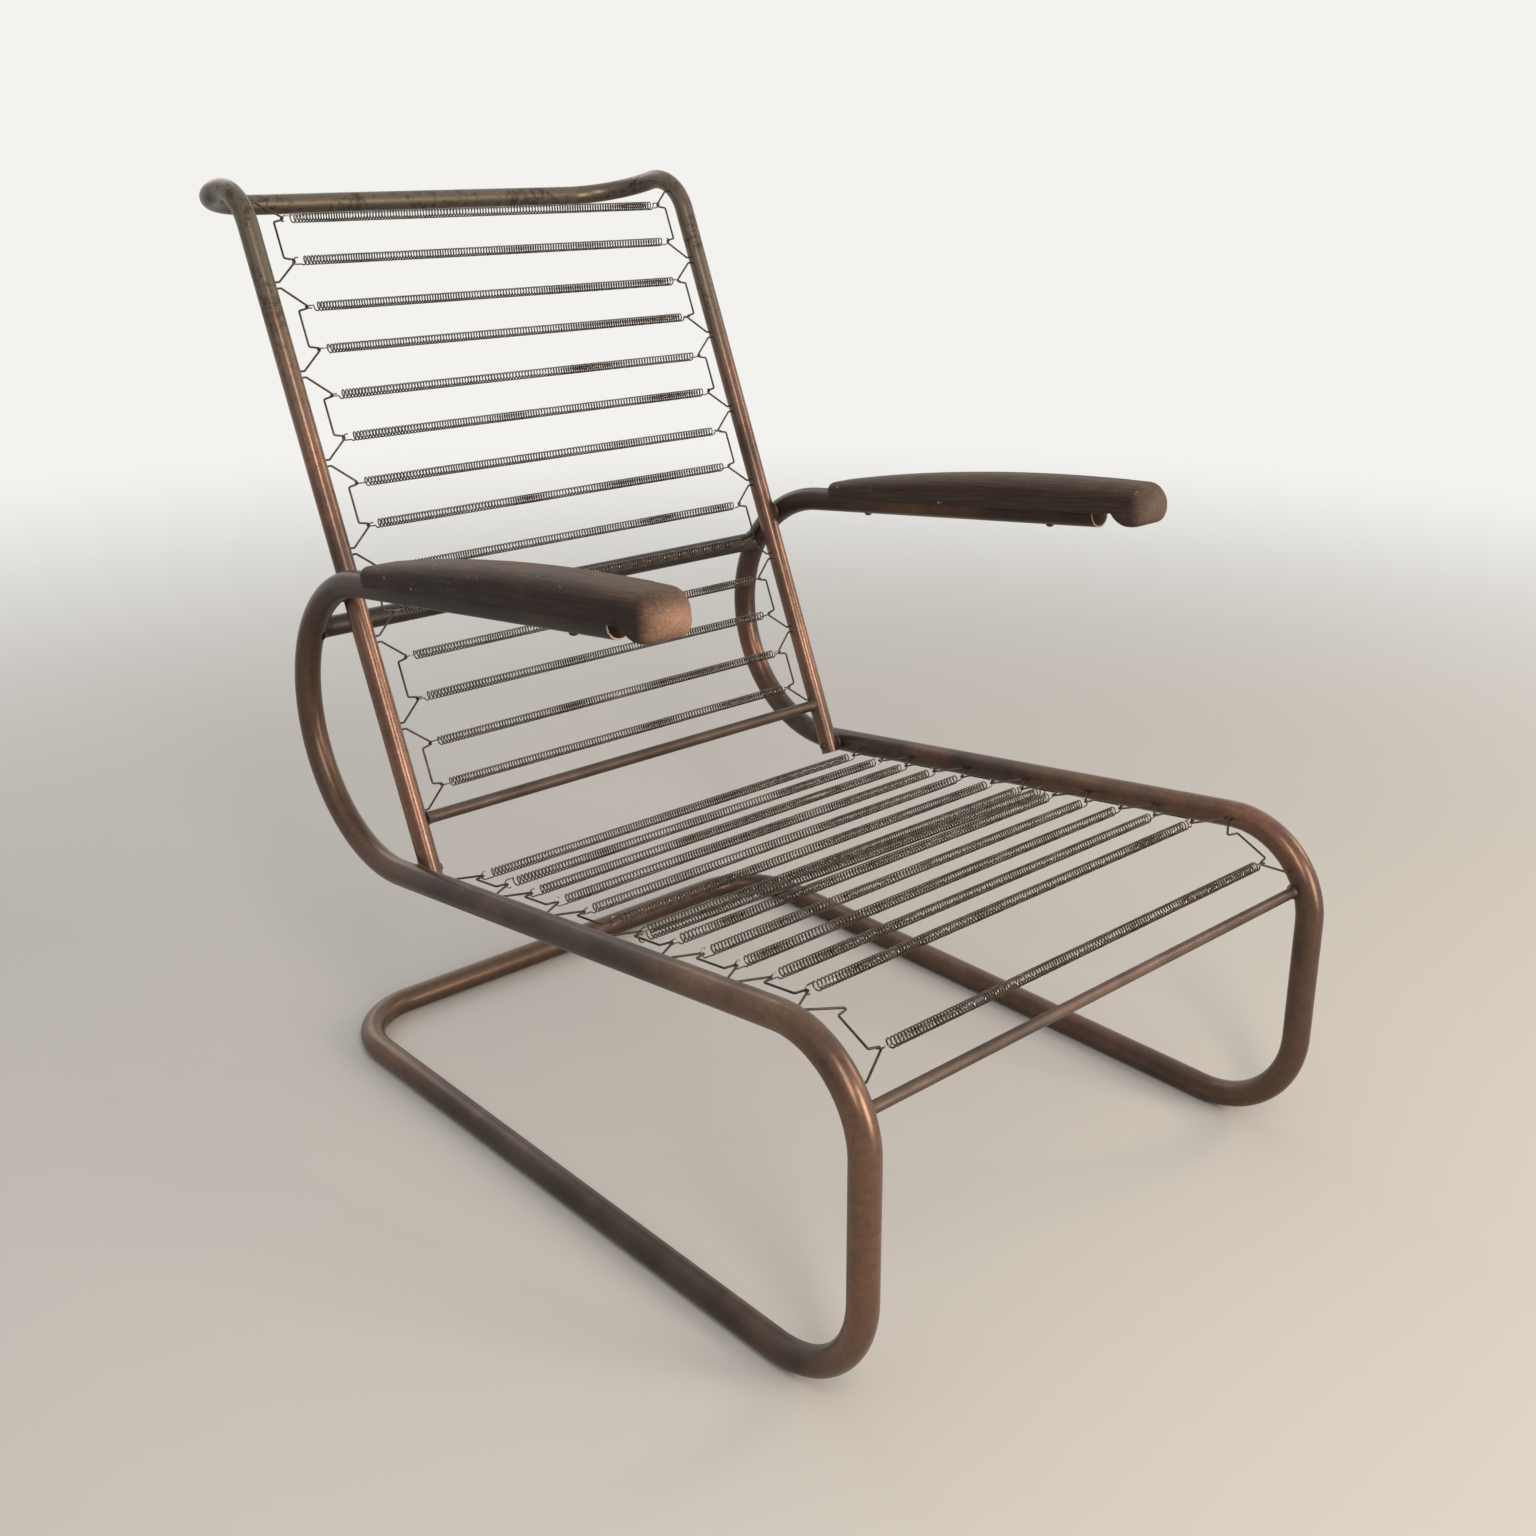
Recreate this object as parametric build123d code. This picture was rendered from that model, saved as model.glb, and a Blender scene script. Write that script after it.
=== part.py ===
"""Cantilever lounge chair of bent steel tube, with bare extension springs for seat and back.

Millimetres. +Z is up, the sitter faces -Y and +X is the sitter's left. The origin lies on the
floor, under the middle of the chair's box. Side views are drawn as (y, z) points measured from the
foot corner of the frame, and the whole chair is moved to its origin at the end.
"""

from build123d import *
import math
import os

# Flats round the bent tubes, and round the springs and fasteners, which keep the chair light to draw
TUBE_SIDES = 16
SMALL_SIDES = 12

# Main frame: a bent tube on each side, joined by a sleeve in the rear floor run
MAIN_D = 25.0
MAIN_BORE = 22.0
SIDE_SPACING = 570.0
ARM_END = (271.5, 555.0)
ARM_SLOPE = 7.0
KNEE = (6.0, 315.0)
SEAT_SLOPE = 7.55
LOOP_CENTRE_Y = 642.0
RUNNER_LENGTH = 766.0
KNEE_BEND = 81.0
FOOT_BEND = 93.0
FLOOR_BEND = 75.0
ARM_BORE_DEPTH = 330.0
SLEEVE_LENGTH = 90.0

# Back frame: one bent tube, rolled backwards at the top
BACK_D = 20.0
BACK_BORE = 17.0
UPRIGHT_CROSS_Y = 608.5
UPRIGHT_LEAN = 23.6
UPRIGHT_LENGTH = 668.0
UPRIGHT_FOOT = 9.0
ROLL_TURN = 81.0
ROLL_BEND = 52.0
CORNER_BEND = 69.0
UPRIGHT_BORE_DEPTH = 560.0
BRAZE_GAP = 0.2
BRAZE_D = 15.0

# Cross members; the rear one lies on the loops, this far round behind the uprights
CROSS_D = 20.0
CROSS_BORE = 17.0
CROSS_ANGLE = 25.3
BACK_ROD_D = 12.0
BACK_ROD_UP = 47.8
FRONT_ROD_D = 10.0
FRONT_ROD_ANGLE = 73.0
FRONT_ROD_INSET = 7.0

# Rivets that pin the uprights to the seat rails
RIVET_D = 4.0
RIVET_HEAD_D = 8.0
RIVET_HEAD_H = 2.2
RIVET_DEPTH = 6.0
HEAD_TAPER = 30.0

# Springs: a close-wound body with an open hook at each end
SPRING_OD = 9.5
SPRING_WIRE = 1.4
HOOK_R = 3.9
HOOK_STRAIGHT = 7.0
HOOK_CLEARANCE = 0.25

# Bent wire clips, each carrying two springs
CLIPS_PER_SIDE = 7
CLIP_WIRE = 2.0
CLIP_TIP = 6.0
CLIP_STUB = 5.0
CLIP_END_GAP = 6.0
CLIP_JOG = 10.0
CLIP_JOG_STEP = 2.0
BACK_CLIP_PITCH = 85.6
BACK_CLIP_FIRST = 95.5
BACK_HOOK_SPACING = 41.0
BACK_HOOK_REACH = 36.5
SEAT_CLIP_PITCH = 80.4
SEAT_CLIP_FIRST = 80.6
SEAT_HOOK_SPACING = 40.2
SEAT_HOOK_REACH = 43.0

# The spring missing from the front clip hangs on the run of the fourth one instead
EMPTY_SLOT = 13
MOVED_CLIP = 4
MOVED_LEFT = 20.0
MOVED_RIGHT = 11.5

# Wooden armrests, in distances along the arm tube from its open end and up from its axis
REST_WIDTH = 46.0
REST_TOP = 35.8
REST_CREST = 95.0
REST_REAR = 360.0
REST_REAR_TOP = 22.0
REST_NOSE = 70.0
REST_NOSE_DROP = 8.0
REST_NOSE_FLAT = 3.0
REST_EDGE = 4.0
REST_ROUND = 15.0
REST_END_ROUND = 20.0
REST_SKIM = 0.05
NOTCH = 27.0

# Screws under the arm tubes
SCREW_D = 4.0
SCREW_HEAD_D = 8.0
SCREW_HEAD_H = 2.5
SCREW_IN_WOOD = 9.0
SCREW_PLACES = (60.0, 310.0)

MAIN_R = MAIN_D / 2
BACK_R = BACK_D / 2
SIDE_X = SIDE_SPACING / 2
UPRIGHT_X = SIDE_X - MAIN_R - BACK_R - BRAZE_GAP
TINY = 1e-6
LEFT, RIGHT = 1, -1


def rounded_path(corners, radii):
    """Straight runs joined by tangent arcs: the centre line of a bent tube."""
    edges = []
    start = corners[0]
    for before, corner, after, radius in zip(corners, corners[1:], corners[2:], radii):
        back = (before - corner).normalized()
        ahead = (after - corner).normalized()
        half = math.radians(back.get_angle(ahead)) / 2
        run = radius / math.tan(half)
        middle = (back + ahead).normalized()
        centre = corner + middle * (radius / math.sin(half))
        entry = corner + back * run
        leave = corner + ahead * run
        if (entry - start).length > TINY:
            edges.append(Line(start, entry))
        edges.append(ThreePointArc(entry, centre - middle * radius, leave))
        start = leave
    if (corners[-1] - start).length > TINY:
        edges.append(Line(start, corners[-1]))
    return Wire(edges)


def bar(path, diameter):
    """A bar swept along a path that starts in a side view."""
    plane = Plane(origin=path @ 0, x_dir=(1, 0, 0), z_dir=path % 0)
    return sweep(plane * RegularPolygon(diameter / 2, TUBE_SIDES), path=path)


def rod(start, end, diameter):
    """A straight round bar between two points."""
    along = end - start
    straight = Cylinder(diameter / 2, along.length, align=(Align.CENTER, Align.CENTER, Align.MIN))
    return Plane(origin=start, z_dir=along) * straight


def pin(start, end, diameter):
    """A thin straight bar between two points, for springs and fasteners."""
    along = end - start
    return extrude(Plane(origin=start, z_dir=along) * RegularPolygon(diameter / 2, SMALL_SIDES), along.length)


def head(at, outward, diameter, height):
    """A low head that stands on a point and tapers outwards."""
    section = Plane(origin=at, z_dir=outward) * RegularPolygon(diameter / 2, SMALL_SIDES)
    return extrude(section, height, taper=HEAD_TAPER)


def at_x(point, x):
    """A point of the side view, moved sideways."""
    return Vector(x, point.Y, point.Z)


def falling(slope):
    """Direction towards the rear along a line that falls by a slope, and its upward normal."""
    angle = math.radians(slope)
    along = Vector(0, math.cos(angle), -math.sin(angle))
    return along, Vector(0, math.sin(angle), math.cos(angle))


# Side view of the main frame
arm_end = Vector(0, *ARM_END)
knee = Vector(0, *KNEE)
foot = Vector(0, 0, MAIN_R)
runner_end = Vector(0, RUNNER_LENGTH, MAIN_R)
arm_dir, arm_up = falling(ARM_SLOPE)
seat_dir, seat_up = falling(SEAT_SLOPE)

# The rear loop is one arc, tangent to the arm and to the seat rail
arm_over = arm_end + arm_dir * ((LOOP_CENTRE_Y - arm_end.Y) / arm_dir.Y)
seat_under = knee + seat_dir * ((LOOP_CENTRE_Y - knee.Y) / seat_dir.Y)
loop_share = arm_dir.Y / (arm_dir.Y + seat_dir.Y)
loop_centre = seat_under + (arm_over - seat_under) * loop_share
LOOP_R = (arm_over - loop_centre).length * arm_dir.Y
rear_dir = (arm_dir + seat_dir).normalized()


def loop_corner(on_rail, direction):
    """Where a rail's line meets the line that touches the loop at its rearmost point."""
    tangent = loop_centre + rear_dir * LOOP_R
    return on_rail + direction * ((tangent - on_rail).dot(rear_dir) / direction.dot(rear_dir))


# The knee bend carries the front rod and the front clip
leg_dir = (foot - knee).normalized()
knee_half = math.radians(leg_dir.get_angle(seat_dir)) / 2
knee_centre = knee + (leg_dir + seat_dir).normalized() * (KNEE_BEND / math.sin(knee_half))
rail_front = knee + seat_dir * (KNEE_BEND / math.tan(knee_half))


def rail_point(y):
    """The seat rail's axis at a depth, going on round the loop."""
    past = y - loop_centre.Y
    if past <= -LOOP_R * seat_up.Y:
        return knee + seat_dir * ((y - knee.Y) / seat_dir.Y)
    return loop_centre + Vector(0, past, -math.sqrt(LOOP_R**2 - past**2))


# The uprights cross the seat rails low down, and the loops again under the arms
lean = math.radians(UPRIGHT_LEAN)
up_dir = Vector(0, math.sin(lean), math.cos(lean))
back_out = Vector(0, -math.cos(lean), math.sin(lean))
seat_cross = rail_point(UPRIGHT_CROSS_Y)
to_loop = seat_cross - loop_centre
half_chord = math.sqrt(to_loop.dot(up_dir) ** 2 - to_loop.dot(to_loop) + LOOP_R**2)
arm_cross = seat_cross + up_dir * (half_chord - to_loop.dot(up_dir))
roll_run = ROLL_BEND * math.tan(math.radians(ROLL_TURN) / 2)


def round_bend(along, straight, start, ahead, up, radius):
    """Point and normal at a distance along a straight run that goes on round a bend."""
    past = along - straight
    if past <= 0:
        return start + ahead * along, up
    turn = past / radius
    centre = start + ahead * straight - up * radius
    normal = up * math.cos(turn) + ahead * math.sin(turn)
    return centre + normal * radius, normal


def seat_line(along):
    """The seat rail forwards from the upright, going on round the knee."""
    straight = (rail_front - seat_cross).dot(-seat_dir)
    start = rail_front + seat_dir * straight
    return round_bend(along, straight, start, -seat_dir, seat_up, KNEE_BEND)


def back_line(along):
    """The upright upwards from the seat rail, going on round the roll at its top."""
    return round_bend(along, UPRIGHT_LENGTH - roll_run, seat_cross, up_dir, back_out, ROLL_BEND)


def frame_solid(side):
    """One side of the main frame without its holes, up to the middle of the rear floor run."""
    corners = [arm_end, loop_corner(arm_end, arm_dir), loop_corner(knee, seat_dir), knee, foot, runner_end]
    corners = [at_x(corner, side * SIDE_X) for corner in corners]
    corners.append(at_x(runner_end, 0))
    return bar(rounded_path(corners, [LOOP_R, LOOP_R, KNEE_BEND, FOOT_BEND, FLOOR_BEND]), MAIN_D)


def back_solid():
    """Uprights, rolled top corners and top rail without their holes."""
    low = seat_cross - up_dir * UPRIGHT_FOOT
    top = seat_cross + up_dir * UPRIGHT_LENGTH
    turn = math.radians(ROLL_TURN)
    roll_dir = up_dir * math.cos(turn) - back_out * math.sin(turn)
    rail = top + roll_dir * (roll_run + CORNER_BEND)
    corners = [at_x(point, -UPRIGHT_X) for point in (low, top, rail)]
    corners += [at_x(point, UPRIGHT_X) for point in (rail, top, low)]
    return bar(rounded_path(corners, [ROLL_BEND, CORNER_BEND, CORNER_BEND, ROLL_BEND]), BACK_D)


def rivet_shank(side):
    """Shank through the upright and into the seat rail beside it."""
    inner = at_x(seat_cross, side * (UPRIGHT_X - BACK_R))
    outer = at_x(seat_cross, side * (SIDE_X - MAIN_R + RIVET_DEPTH))
    return pin(inner, outer, RIVET_D)


def rivet(side):
    """Rivet with its head on the inner face of the upright."""
    face = at_x(seat_cross, side * (UPRIGHT_X - BACK_R))
    return head(face, Vector(-side, 0, 0), RIVET_HEAD_D, RIVET_HEAD_H) + rivet_shank(side)


def screw_line(side, place):
    """Middle of the arm tube where a screw crosses it."""
    return at_x(arm_end + arm_dir * place, side * SIDE_X)


def screw_shank(side, place):
    """Shank from the underside of the arm tube up into the armrest."""
    middle = screw_line(side, place)
    return pin(middle - arm_up * MAIN_R, middle + arm_up * (MAIN_R + SCREW_IN_WOOD), SCREW_D)


def screw(side, place):
    """Wood screw with its head under the arm tube."""
    under = screw_line(side, place) - arm_up * MAIN_R
    return head(under, -arm_up, SCREW_HEAD_D, SCREW_HEAD_H) + screw_shank(side, place)


def frame_tube(side, solid):
    """Frame side with its open arm end, its sleeve socket and the holes for screws and rivet."""
    end = at_x(arm_end, side * SIDE_X)
    middle = at_x(runner_end, 0)
    solid -= rod(end, end + arm_dir * ARM_BORE_DEPTH, MAIN_BORE)
    solid -= rod(middle, middle + Vector(side * SLEEVE_LENGTH / 2, 0, 0), MAIN_BORE)
    for place in SCREW_PLACES:
        solid -= screw_shank(side, place)
    return solid - rivet_shank(side)


def back_tube(solid):
    """Back frame with its open feet and rivet holes."""
    for side in (LEFT, RIGHT):
        low = at_x(seat_cross - up_dir * UPRIGHT_FOOT, side * UPRIGHT_X)
        solid -= rod(low, low + up_dir * UPRIGHT_BORE_DEPTH, BACK_BORE)
        solid -= rivet_shank(side)
    return solid


def brazing(side, point, frame, back):
    """Brazing that fills the wedge between an upright and the frame tube beside it."""
    plug = pin(at_x(point, side * UPRIGHT_X), at_x(point, side * SIDE_X), BRAZE_D)
    return plug - frame - back - rivet_shank(side)


def cross_bar(point, reach, diameter, beside):
    """A bar across the chair, its ends cut to the tubes that it is brazed to."""
    body = rod(at_x(point, -reach), at_x(point, reach), diameter)
    for solid in beside:
        body -= solid
    return body


def armrest(side):
    """Crowned rest, grooved over the tube, with a nose that drops in front of the tube's end."""
    end = at_x(arm_end, side * SIDE_X)
    rise = REST_TOP - REST_REAR_TOP
    rear_u = REST_REAR - (REST_REAR_TOP - REST_EDGE)
    crown_r = ((rear_u - REST_CREST) ** 2 + rise**2) / (2 * rise)
    nose_r = (REST_TOP + REST_NOSE_DROP) / 2
    nose_u = nose_r - REST_NOSE
    nose_v = REST_TOP - crown_r + math.sqrt(crown_r**2 - (nose_u - REST_CREST) ** 2)
    top = ThreePointArc((rear_u, REST_REAR_TOP), (REST_CREST, REST_TOP), (nose_u, nose_v))
    nose = ThreePointArc(top @ 1, (-REST_NOSE, (nose_v - REST_NOSE_DROP) / 2), (nose_u, -REST_NOSE_DROP))
    flat = Line(nose @ 1, (nose_u + REST_NOSE_FLAT, -REST_NOSE_DROP))
    notch = TangentArc(flat @ 1, (-NOTCH, REST_EDGE), tangent=flat % 1)
    edge = Line(notch @ 1, (REST_REAR, REST_EDGE))
    rear = TangentArc(top @ 0, edge @ 1, tangent=-(top % 0))
    profile = make_face(Wire([top, nose, flat, notch, edge, rear]))
    block = extrude(Plane(origin=end, x_dir=arm_dir, z_dir=(1, 0, 0)) * profile, REST_WIDTH, both=True)

    crest = end + arm_dir * REST_CREST + arm_up * (REST_TOP + REST_SKIM)
    depth = 2 * REST_TOP
    corners = Pos(0, depth / 2) * Rectangle(REST_WIDTH, depth)
    section = fillet(corners.vertices().sort_by(Axis.Y)[:2], REST_ROUND)
    section = Plane(origin=crest, x_dir=(1, 0, 0), z_dir=arm_dir) * section
    crown_axis = Axis(crest - arm_up * (crown_r + REST_SKIM), (1, 0, 0))
    sweep_turn = 2 * math.degrees(REST_REAR / crown_r)
    crowned = revolve(section.rotate(crown_axis, -sweep_turn / 2), crown_axis, sweep_turn)

    length = REST_REAR + REST_NOSE
    width = REST_WIDTH + 2 * REST_SKIM
    outline = Pos((REST_REAR - REST_NOSE) / 2, 0) * RectangleRounded(length, width, REST_END_ROUND)
    column = extrude(Plane(origin=end, x_dir=arm_dir, z_dir=arm_up) * outline, depth, both=True)

    rest = block & crowned & column
    rest -= rod(end - arm_dir * NOTCH / 2, end + arm_dir * (REST_REAR + MAIN_D), MAIN_D)
    for place in SCREW_PLACES:
        rest -= screw_shank(side, place)
    return rest


def wire(points, up, size):
    """Thin square wire with sharp bends, its flats turned to a normal."""
    section = Plane(origin=points[0], x_dir=up, z_dir=points[1] - points[0]) * Rectangle(size, size)
    return sweep(section, path=Polyline(*points), transition=Transition.RIGHT)


def spring(first, last, up):
    """Extension spring between the two wires that its hooks pull on."""
    along = (last - first).normalized()
    grip = HOOK_R * math.cos(math.pi / 6)
    set_back = grip - (SPRING_WIRE + CLIP_WIRE) / 2 - HOOK_CLEARANCE
    hooks = []
    faces = []
    for pull, inward in [(first, along), (last, -along)]:
        centre = pull + inward * set_back
        face = centre + inward * HOOK_STRAIGHT
        points = [face + inward * SPRING_WIRE + up * HOOK_R, centre + up * HOOK_R]
        points += [centre + up * (HOOK_R / 2) - inward * grip, centre - up * (HOOK_R / 2) - inward * grip]
        hooks.append(wire(points + [centre - up * HOOK_R], up, SPRING_WIRE))
        faces.append(face)
    return pin(faces[0], faces[1], SPRING_OD) + hooks[0] + hooks[1]


def clip(side, line, tube_x, tube_r, reach, centre, pitch, spacing):
    """Bent wire between two holes in a tube, with a corner for each of its two springs."""
    hole_x = side * (tube_x - tube_r)
    stub_x = side * (tube_x - tube_r - CLIP_STUB)
    tip_x = side * (tube_x - reach)
    run_x = side * (tube_x - reach + CLIP_JOG)
    half = [
        (hole_x, (pitch - CLIP_END_GAP) / 2),
        (stub_x, (pitch - CLIP_END_GAP) / 2),
        (tip_x, (spacing + CLIP_TIP) / 2),
        (tip_x, (spacing - CLIP_TIP) / 2),
        (run_x, (spacing - CLIP_TIP) / 2 - CLIP_JOG_STEP),
    ]
    stations = [(x, centre - off) for x, off in half] + [(x, centre + off) for x, off in reversed(half)]
    up = line(stations[0][1])[1]
    return wire([at_x(line(along)[0], x) for x, along in stations], up, CLIP_WIRE)


def clip_centres(first, pitch):
    return [first + pitch * number for number in range(CLIPS_PER_SIDE)]


def slots(first, pitch, spacing):
    """Places of the springs along a tube, two to a clip."""
    return [centre + off for centre in clip_centres(first, pitch) for off in (-spacing / 2, spacing / 2)]


back_clip = dict(line=back_line, tube_x=UPRIGHT_X, tube_r=BACK_R, reach=BACK_HOOK_REACH,
                 pitch=BACK_CLIP_PITCH, spacing=BACK_HOOK_SPACING)
seat_clip = dict(line=seat_line, tube_x=SIDE_X, tube_r=MAIN_R, reach=SEAT_HOOK_REACH,
                 pitch=SEAT_CLIP_PITCH, spacing=SEAT_HOOK_SPACING)
back_centres = clip_centres(BACK_CLIP_FIRST, BACK_CLIP_PITCH)
seat_centres = clip_centres(SEAT_CLIP_FIRST, SEAT_CLIP_PITCH)


def straight_spring(line, along, tip_x):
    point, up = line(along)
    return spring(at_x(point, -tip_x), at_x(point, tip_x), up)


def moved_spring():
    """The spring that was taken off the front clip, hung on the runs of another pair of clips."""
    corner = seat_centres[MOVED_CLIP - 1] - SEAT_HOOK_SPACING / 2
    run_x = SIDE_X - SEAT_HOOK_REACH + CLIP_JOG
    first = at_x(seat_line(corner + MOVED_RIGHT)[0], RIGHT * run_x)
    last = at_x(seat_line(corner + MOVED_LEFT)[0], LEFT * run_x)
    return spring(first, last, seat_up)


def build():
    """Every piece of the chair, by name."""
    nodes = {}
    sides = {"left": LEFT, "right": RIGHT}
    frames = {side: frame_solid(side) for side in (LEFT, RIGHT)}
    back = back_solid()
    for name, side in sides.items():
        nodes[f"frame_tube_{name}"] = frame_tube(side, frames[side])
        nodes[f"armrest_{name}"] = armrest(side)
    middle = at_x(runner_end, 0)
    half_sleeve = Vector(SLEEVE_LENGTH / 2, 0, 0)
    nodes["frame_sleeve"] = rod(middle - half_sleeve, middle + half_sleeve, MAIN_BORE)
    nodes["back_tube"] = back_tube(back)

    turn = math.radians(CROSS_ANGLE)
    radial = (arm_cross - loop_centre).normalized()
    behind = Vector(0, radial.Z, -radial.Y)
    cross_at = loop_centre + radial * (LOOP_R * math.cos(turn)) + behind * (LOOP_R * math.sin(turn))
    cross = cross_bar(cross_at, SIDE_X, CROSS_D, frames.values())
    nodes["rear_cross_tube"] = cross - rod(at_x(cross_at, -SIDE_X), at_x(cross_at, SIDE_X), CROSS_BORE)
    nodes["lower_back_rod"] = cross_bar(back_line(BACK_ROD_UP)[0], UPRIGHT_X, BACK_ROD_D, [back])
    turn = math.radians(FRONT_ROD_ANGLE)
    outward = seat_up * math.cos(turn) - seat_dir * math.sin(turn)
    front_at = knee_centre + outward * (KNEE_BEND - FRONT_ROD_INSET)
    nodes["front_rod"] = cross_bar(front_at, SIDE_X, FRONT_ROD_D, frames.values())

    nodes["upright_rivets"] = Compound([rivet(side) for side in sides.values()])
    nodes["armrest_screws"] = Compound([screw(side, at) for side in sides.values() for at in SCREW_PLACES])
    nodes["seat_rail_brazing"] = Compound([brazing(s, seat_cross, frames[s], back) for s in sides.values()])
    nodes["arm_loop_brazing"] = Compound([brazing(s, arm_cross, frames[s], back) for s in sides.values()])
    for name, side in sides.items():
        nodes[f"back_clips_{name}"] = Compound([clip(side, centre=at, **back_clip) for at in back_centres])
        nodes[f"seat_clips_{name}"] = Compound([clip(side, centre=at, **seat_clip) for at in seat_centres])

    places = slots(BACK_CLIP_FIRST, BACK_CLIP_PITCH, BACK_HOOK_SPACING)
    for number, along in enumerate(reversed(places), start=1):
        nodes[f"back_spring_{number:02d}"] = straight_spring(back_line, along, UPRIGHT_X - BACK_HOOK_REACH)
    places = slots(SEAT_CLIP_FIRST, SEAT_CLIP_PITCH, SEAT_HOOK_SPACING)
    for number, along in enumerate(places, start=1):
        if number != EMPTY_SLOT:
            nodes[f"seat_spring_{number:02d}"] = straight_spring(seat_line, along, SIDE_X - SEAT_HOOK_REACH)
    nodes[f"seat_spring_{EMPTY_SLOT:02d}_moved"] = moved_spring()
    return nodes


def main():
    os.makedirs("parts", exist_ok=True)
    nodes = build()
    box = Compound(list(nodes.values())).bounding_box()
    to_origin = Pos(0, -(box.min.Y + box.max.Y) / 2, 0)
    print(f"chair {box.size.X:.1f} wide, {box.size.Y:.1f} deep, {box.size.Z:.1f} high, lowest {box.min.Z:.3f}")
    print(f"moved by {to_origin.position.Y:.3f}, rear loop bend {LOOP_R:.1f}")
    for name, shape in nodes.items():
        export_step(to_origin * shape, f"parts/{name}.step")


main()
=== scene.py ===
# %% [markdown]
# # A cantilever lounge chair with bare springs
# The chair is one bent steel tube on each side, a second bent tube for the back, and rows of
# extension springs hooked across both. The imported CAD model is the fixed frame: every piece below is
# drawn in the same place, in metres, and stands for the CAD piece that it names.

# %% Load the frame
import math
import random

import bmesh
import bpy
from mathutils import Matrix, Vector


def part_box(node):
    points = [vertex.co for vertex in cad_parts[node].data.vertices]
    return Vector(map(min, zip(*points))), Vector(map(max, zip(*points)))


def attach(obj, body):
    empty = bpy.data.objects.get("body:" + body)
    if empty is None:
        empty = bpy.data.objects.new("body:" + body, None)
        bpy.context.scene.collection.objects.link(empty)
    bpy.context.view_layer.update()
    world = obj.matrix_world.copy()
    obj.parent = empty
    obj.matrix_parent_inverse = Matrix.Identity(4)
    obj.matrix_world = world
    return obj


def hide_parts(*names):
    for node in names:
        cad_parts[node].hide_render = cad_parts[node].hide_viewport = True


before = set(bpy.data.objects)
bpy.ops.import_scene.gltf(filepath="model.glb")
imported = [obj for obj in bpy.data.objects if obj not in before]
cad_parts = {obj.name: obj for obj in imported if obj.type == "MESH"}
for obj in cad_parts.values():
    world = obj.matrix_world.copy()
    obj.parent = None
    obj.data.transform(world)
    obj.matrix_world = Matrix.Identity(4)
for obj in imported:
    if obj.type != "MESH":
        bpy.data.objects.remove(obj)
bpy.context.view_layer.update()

# %% [markdown]
# Sizes are written in millimetres, as on a workshop drawing, and turned to metres in one place.
# Colours are sRGB hex values, as a colour picker shows them, and one function makes them linear.
# One more function adds a node, sets its values and joins its sockets, for materials and for shapes.

# %% Units, colours and nodes
MM = 0.001


def linear(hex_colour):
    """Linear RGBA from an sRGB hex value."""
    shares = [int(hex_colour[i : i + 2], 16) / 255 for i in (1, 3, 5)]
    return [s / 12.92 if s <= 0.04045 else ((s + 0.055) / 1.055) ** 2.4 for s in shares] + [1.0]


def add(tree, kind, values=None, stops=(), **settings):
    """A node with its settings; a value that is a socket is joined, and stops are a ramp's colours."""
    node = tree.nodes.new(kind)
    for key, value in settings.items():
        setattr(node, key, value)
    for key, value in (values or {}).items():
        if isinstance(value, bpy.types.NodeSocket):
            tree.links.new(value, node.inputs[key])
        else:
            node.inputs[key].default_value = value
    for number, (position, colour) in enumerate(stops):
        if number > 1:
            node.color_ramp.elements.new(position)
        node.color_ramp.elements[number].position = position
        node.color_ramp.elements[number].color = linear(colour)
    return node


print("mid grey is", round(linear("#808080")[0], 3), "in linear light")

# %% [markdown]
# The side view gives almost the whole chair. Points are (depth, height) from the foot corner of the
# frame; the shift that puts them in the CAD frame is read from the sleeve that joins the two halves.
# Points could be read off the CAD meshes too, but a few named sizes can be followed and changed.

# %% Points of the side view
MAIN_D, BACK_D = 25.0, 20.0
MAIN_R, BACK_R = MAIN_D / 2, BACK_D / 2
SIDE_X = 285.0
RUNNER_LENGTH = 766.0
SLEEVE_LOW, SLEEVE_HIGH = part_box("frame_sleeve")
SHIFT_Y = (SLEEVE_LOW[1] + SLEEVE_HIGH[1]) / 2 / MM - RUNNER_LENGTH


def side_point(y, z, x=0.0):
    """A point of the side view, in the CAD frame."""
    return Vector((x, y + SHIFT_Y, z))


def at_x(point, x):
    """The same point of the side view, moved to one side."""
    return Vector((x, point.y, point.z))


def falling(slope):
    """Direction towards the rear along a falling line, and its upward normal."""
    angle = math.radians(slope)
    return Vector((0, math.cos(angle), -math.sin(angle))), Vector((0, math.sin(angle), math.cos(angle)))


print("shift to the CAD frame", round(SHIFT_Y, 2), "mm")

# %% [markdown]
# The arm and the seat rail both fall a little towards the rear, and one arc joins them. That arc is
# tangent to both lines, so its radius follows from them and from the depth of its centre. A bent tube
# needs only the corners where its straight runs would meet, and those are worked out here.

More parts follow.
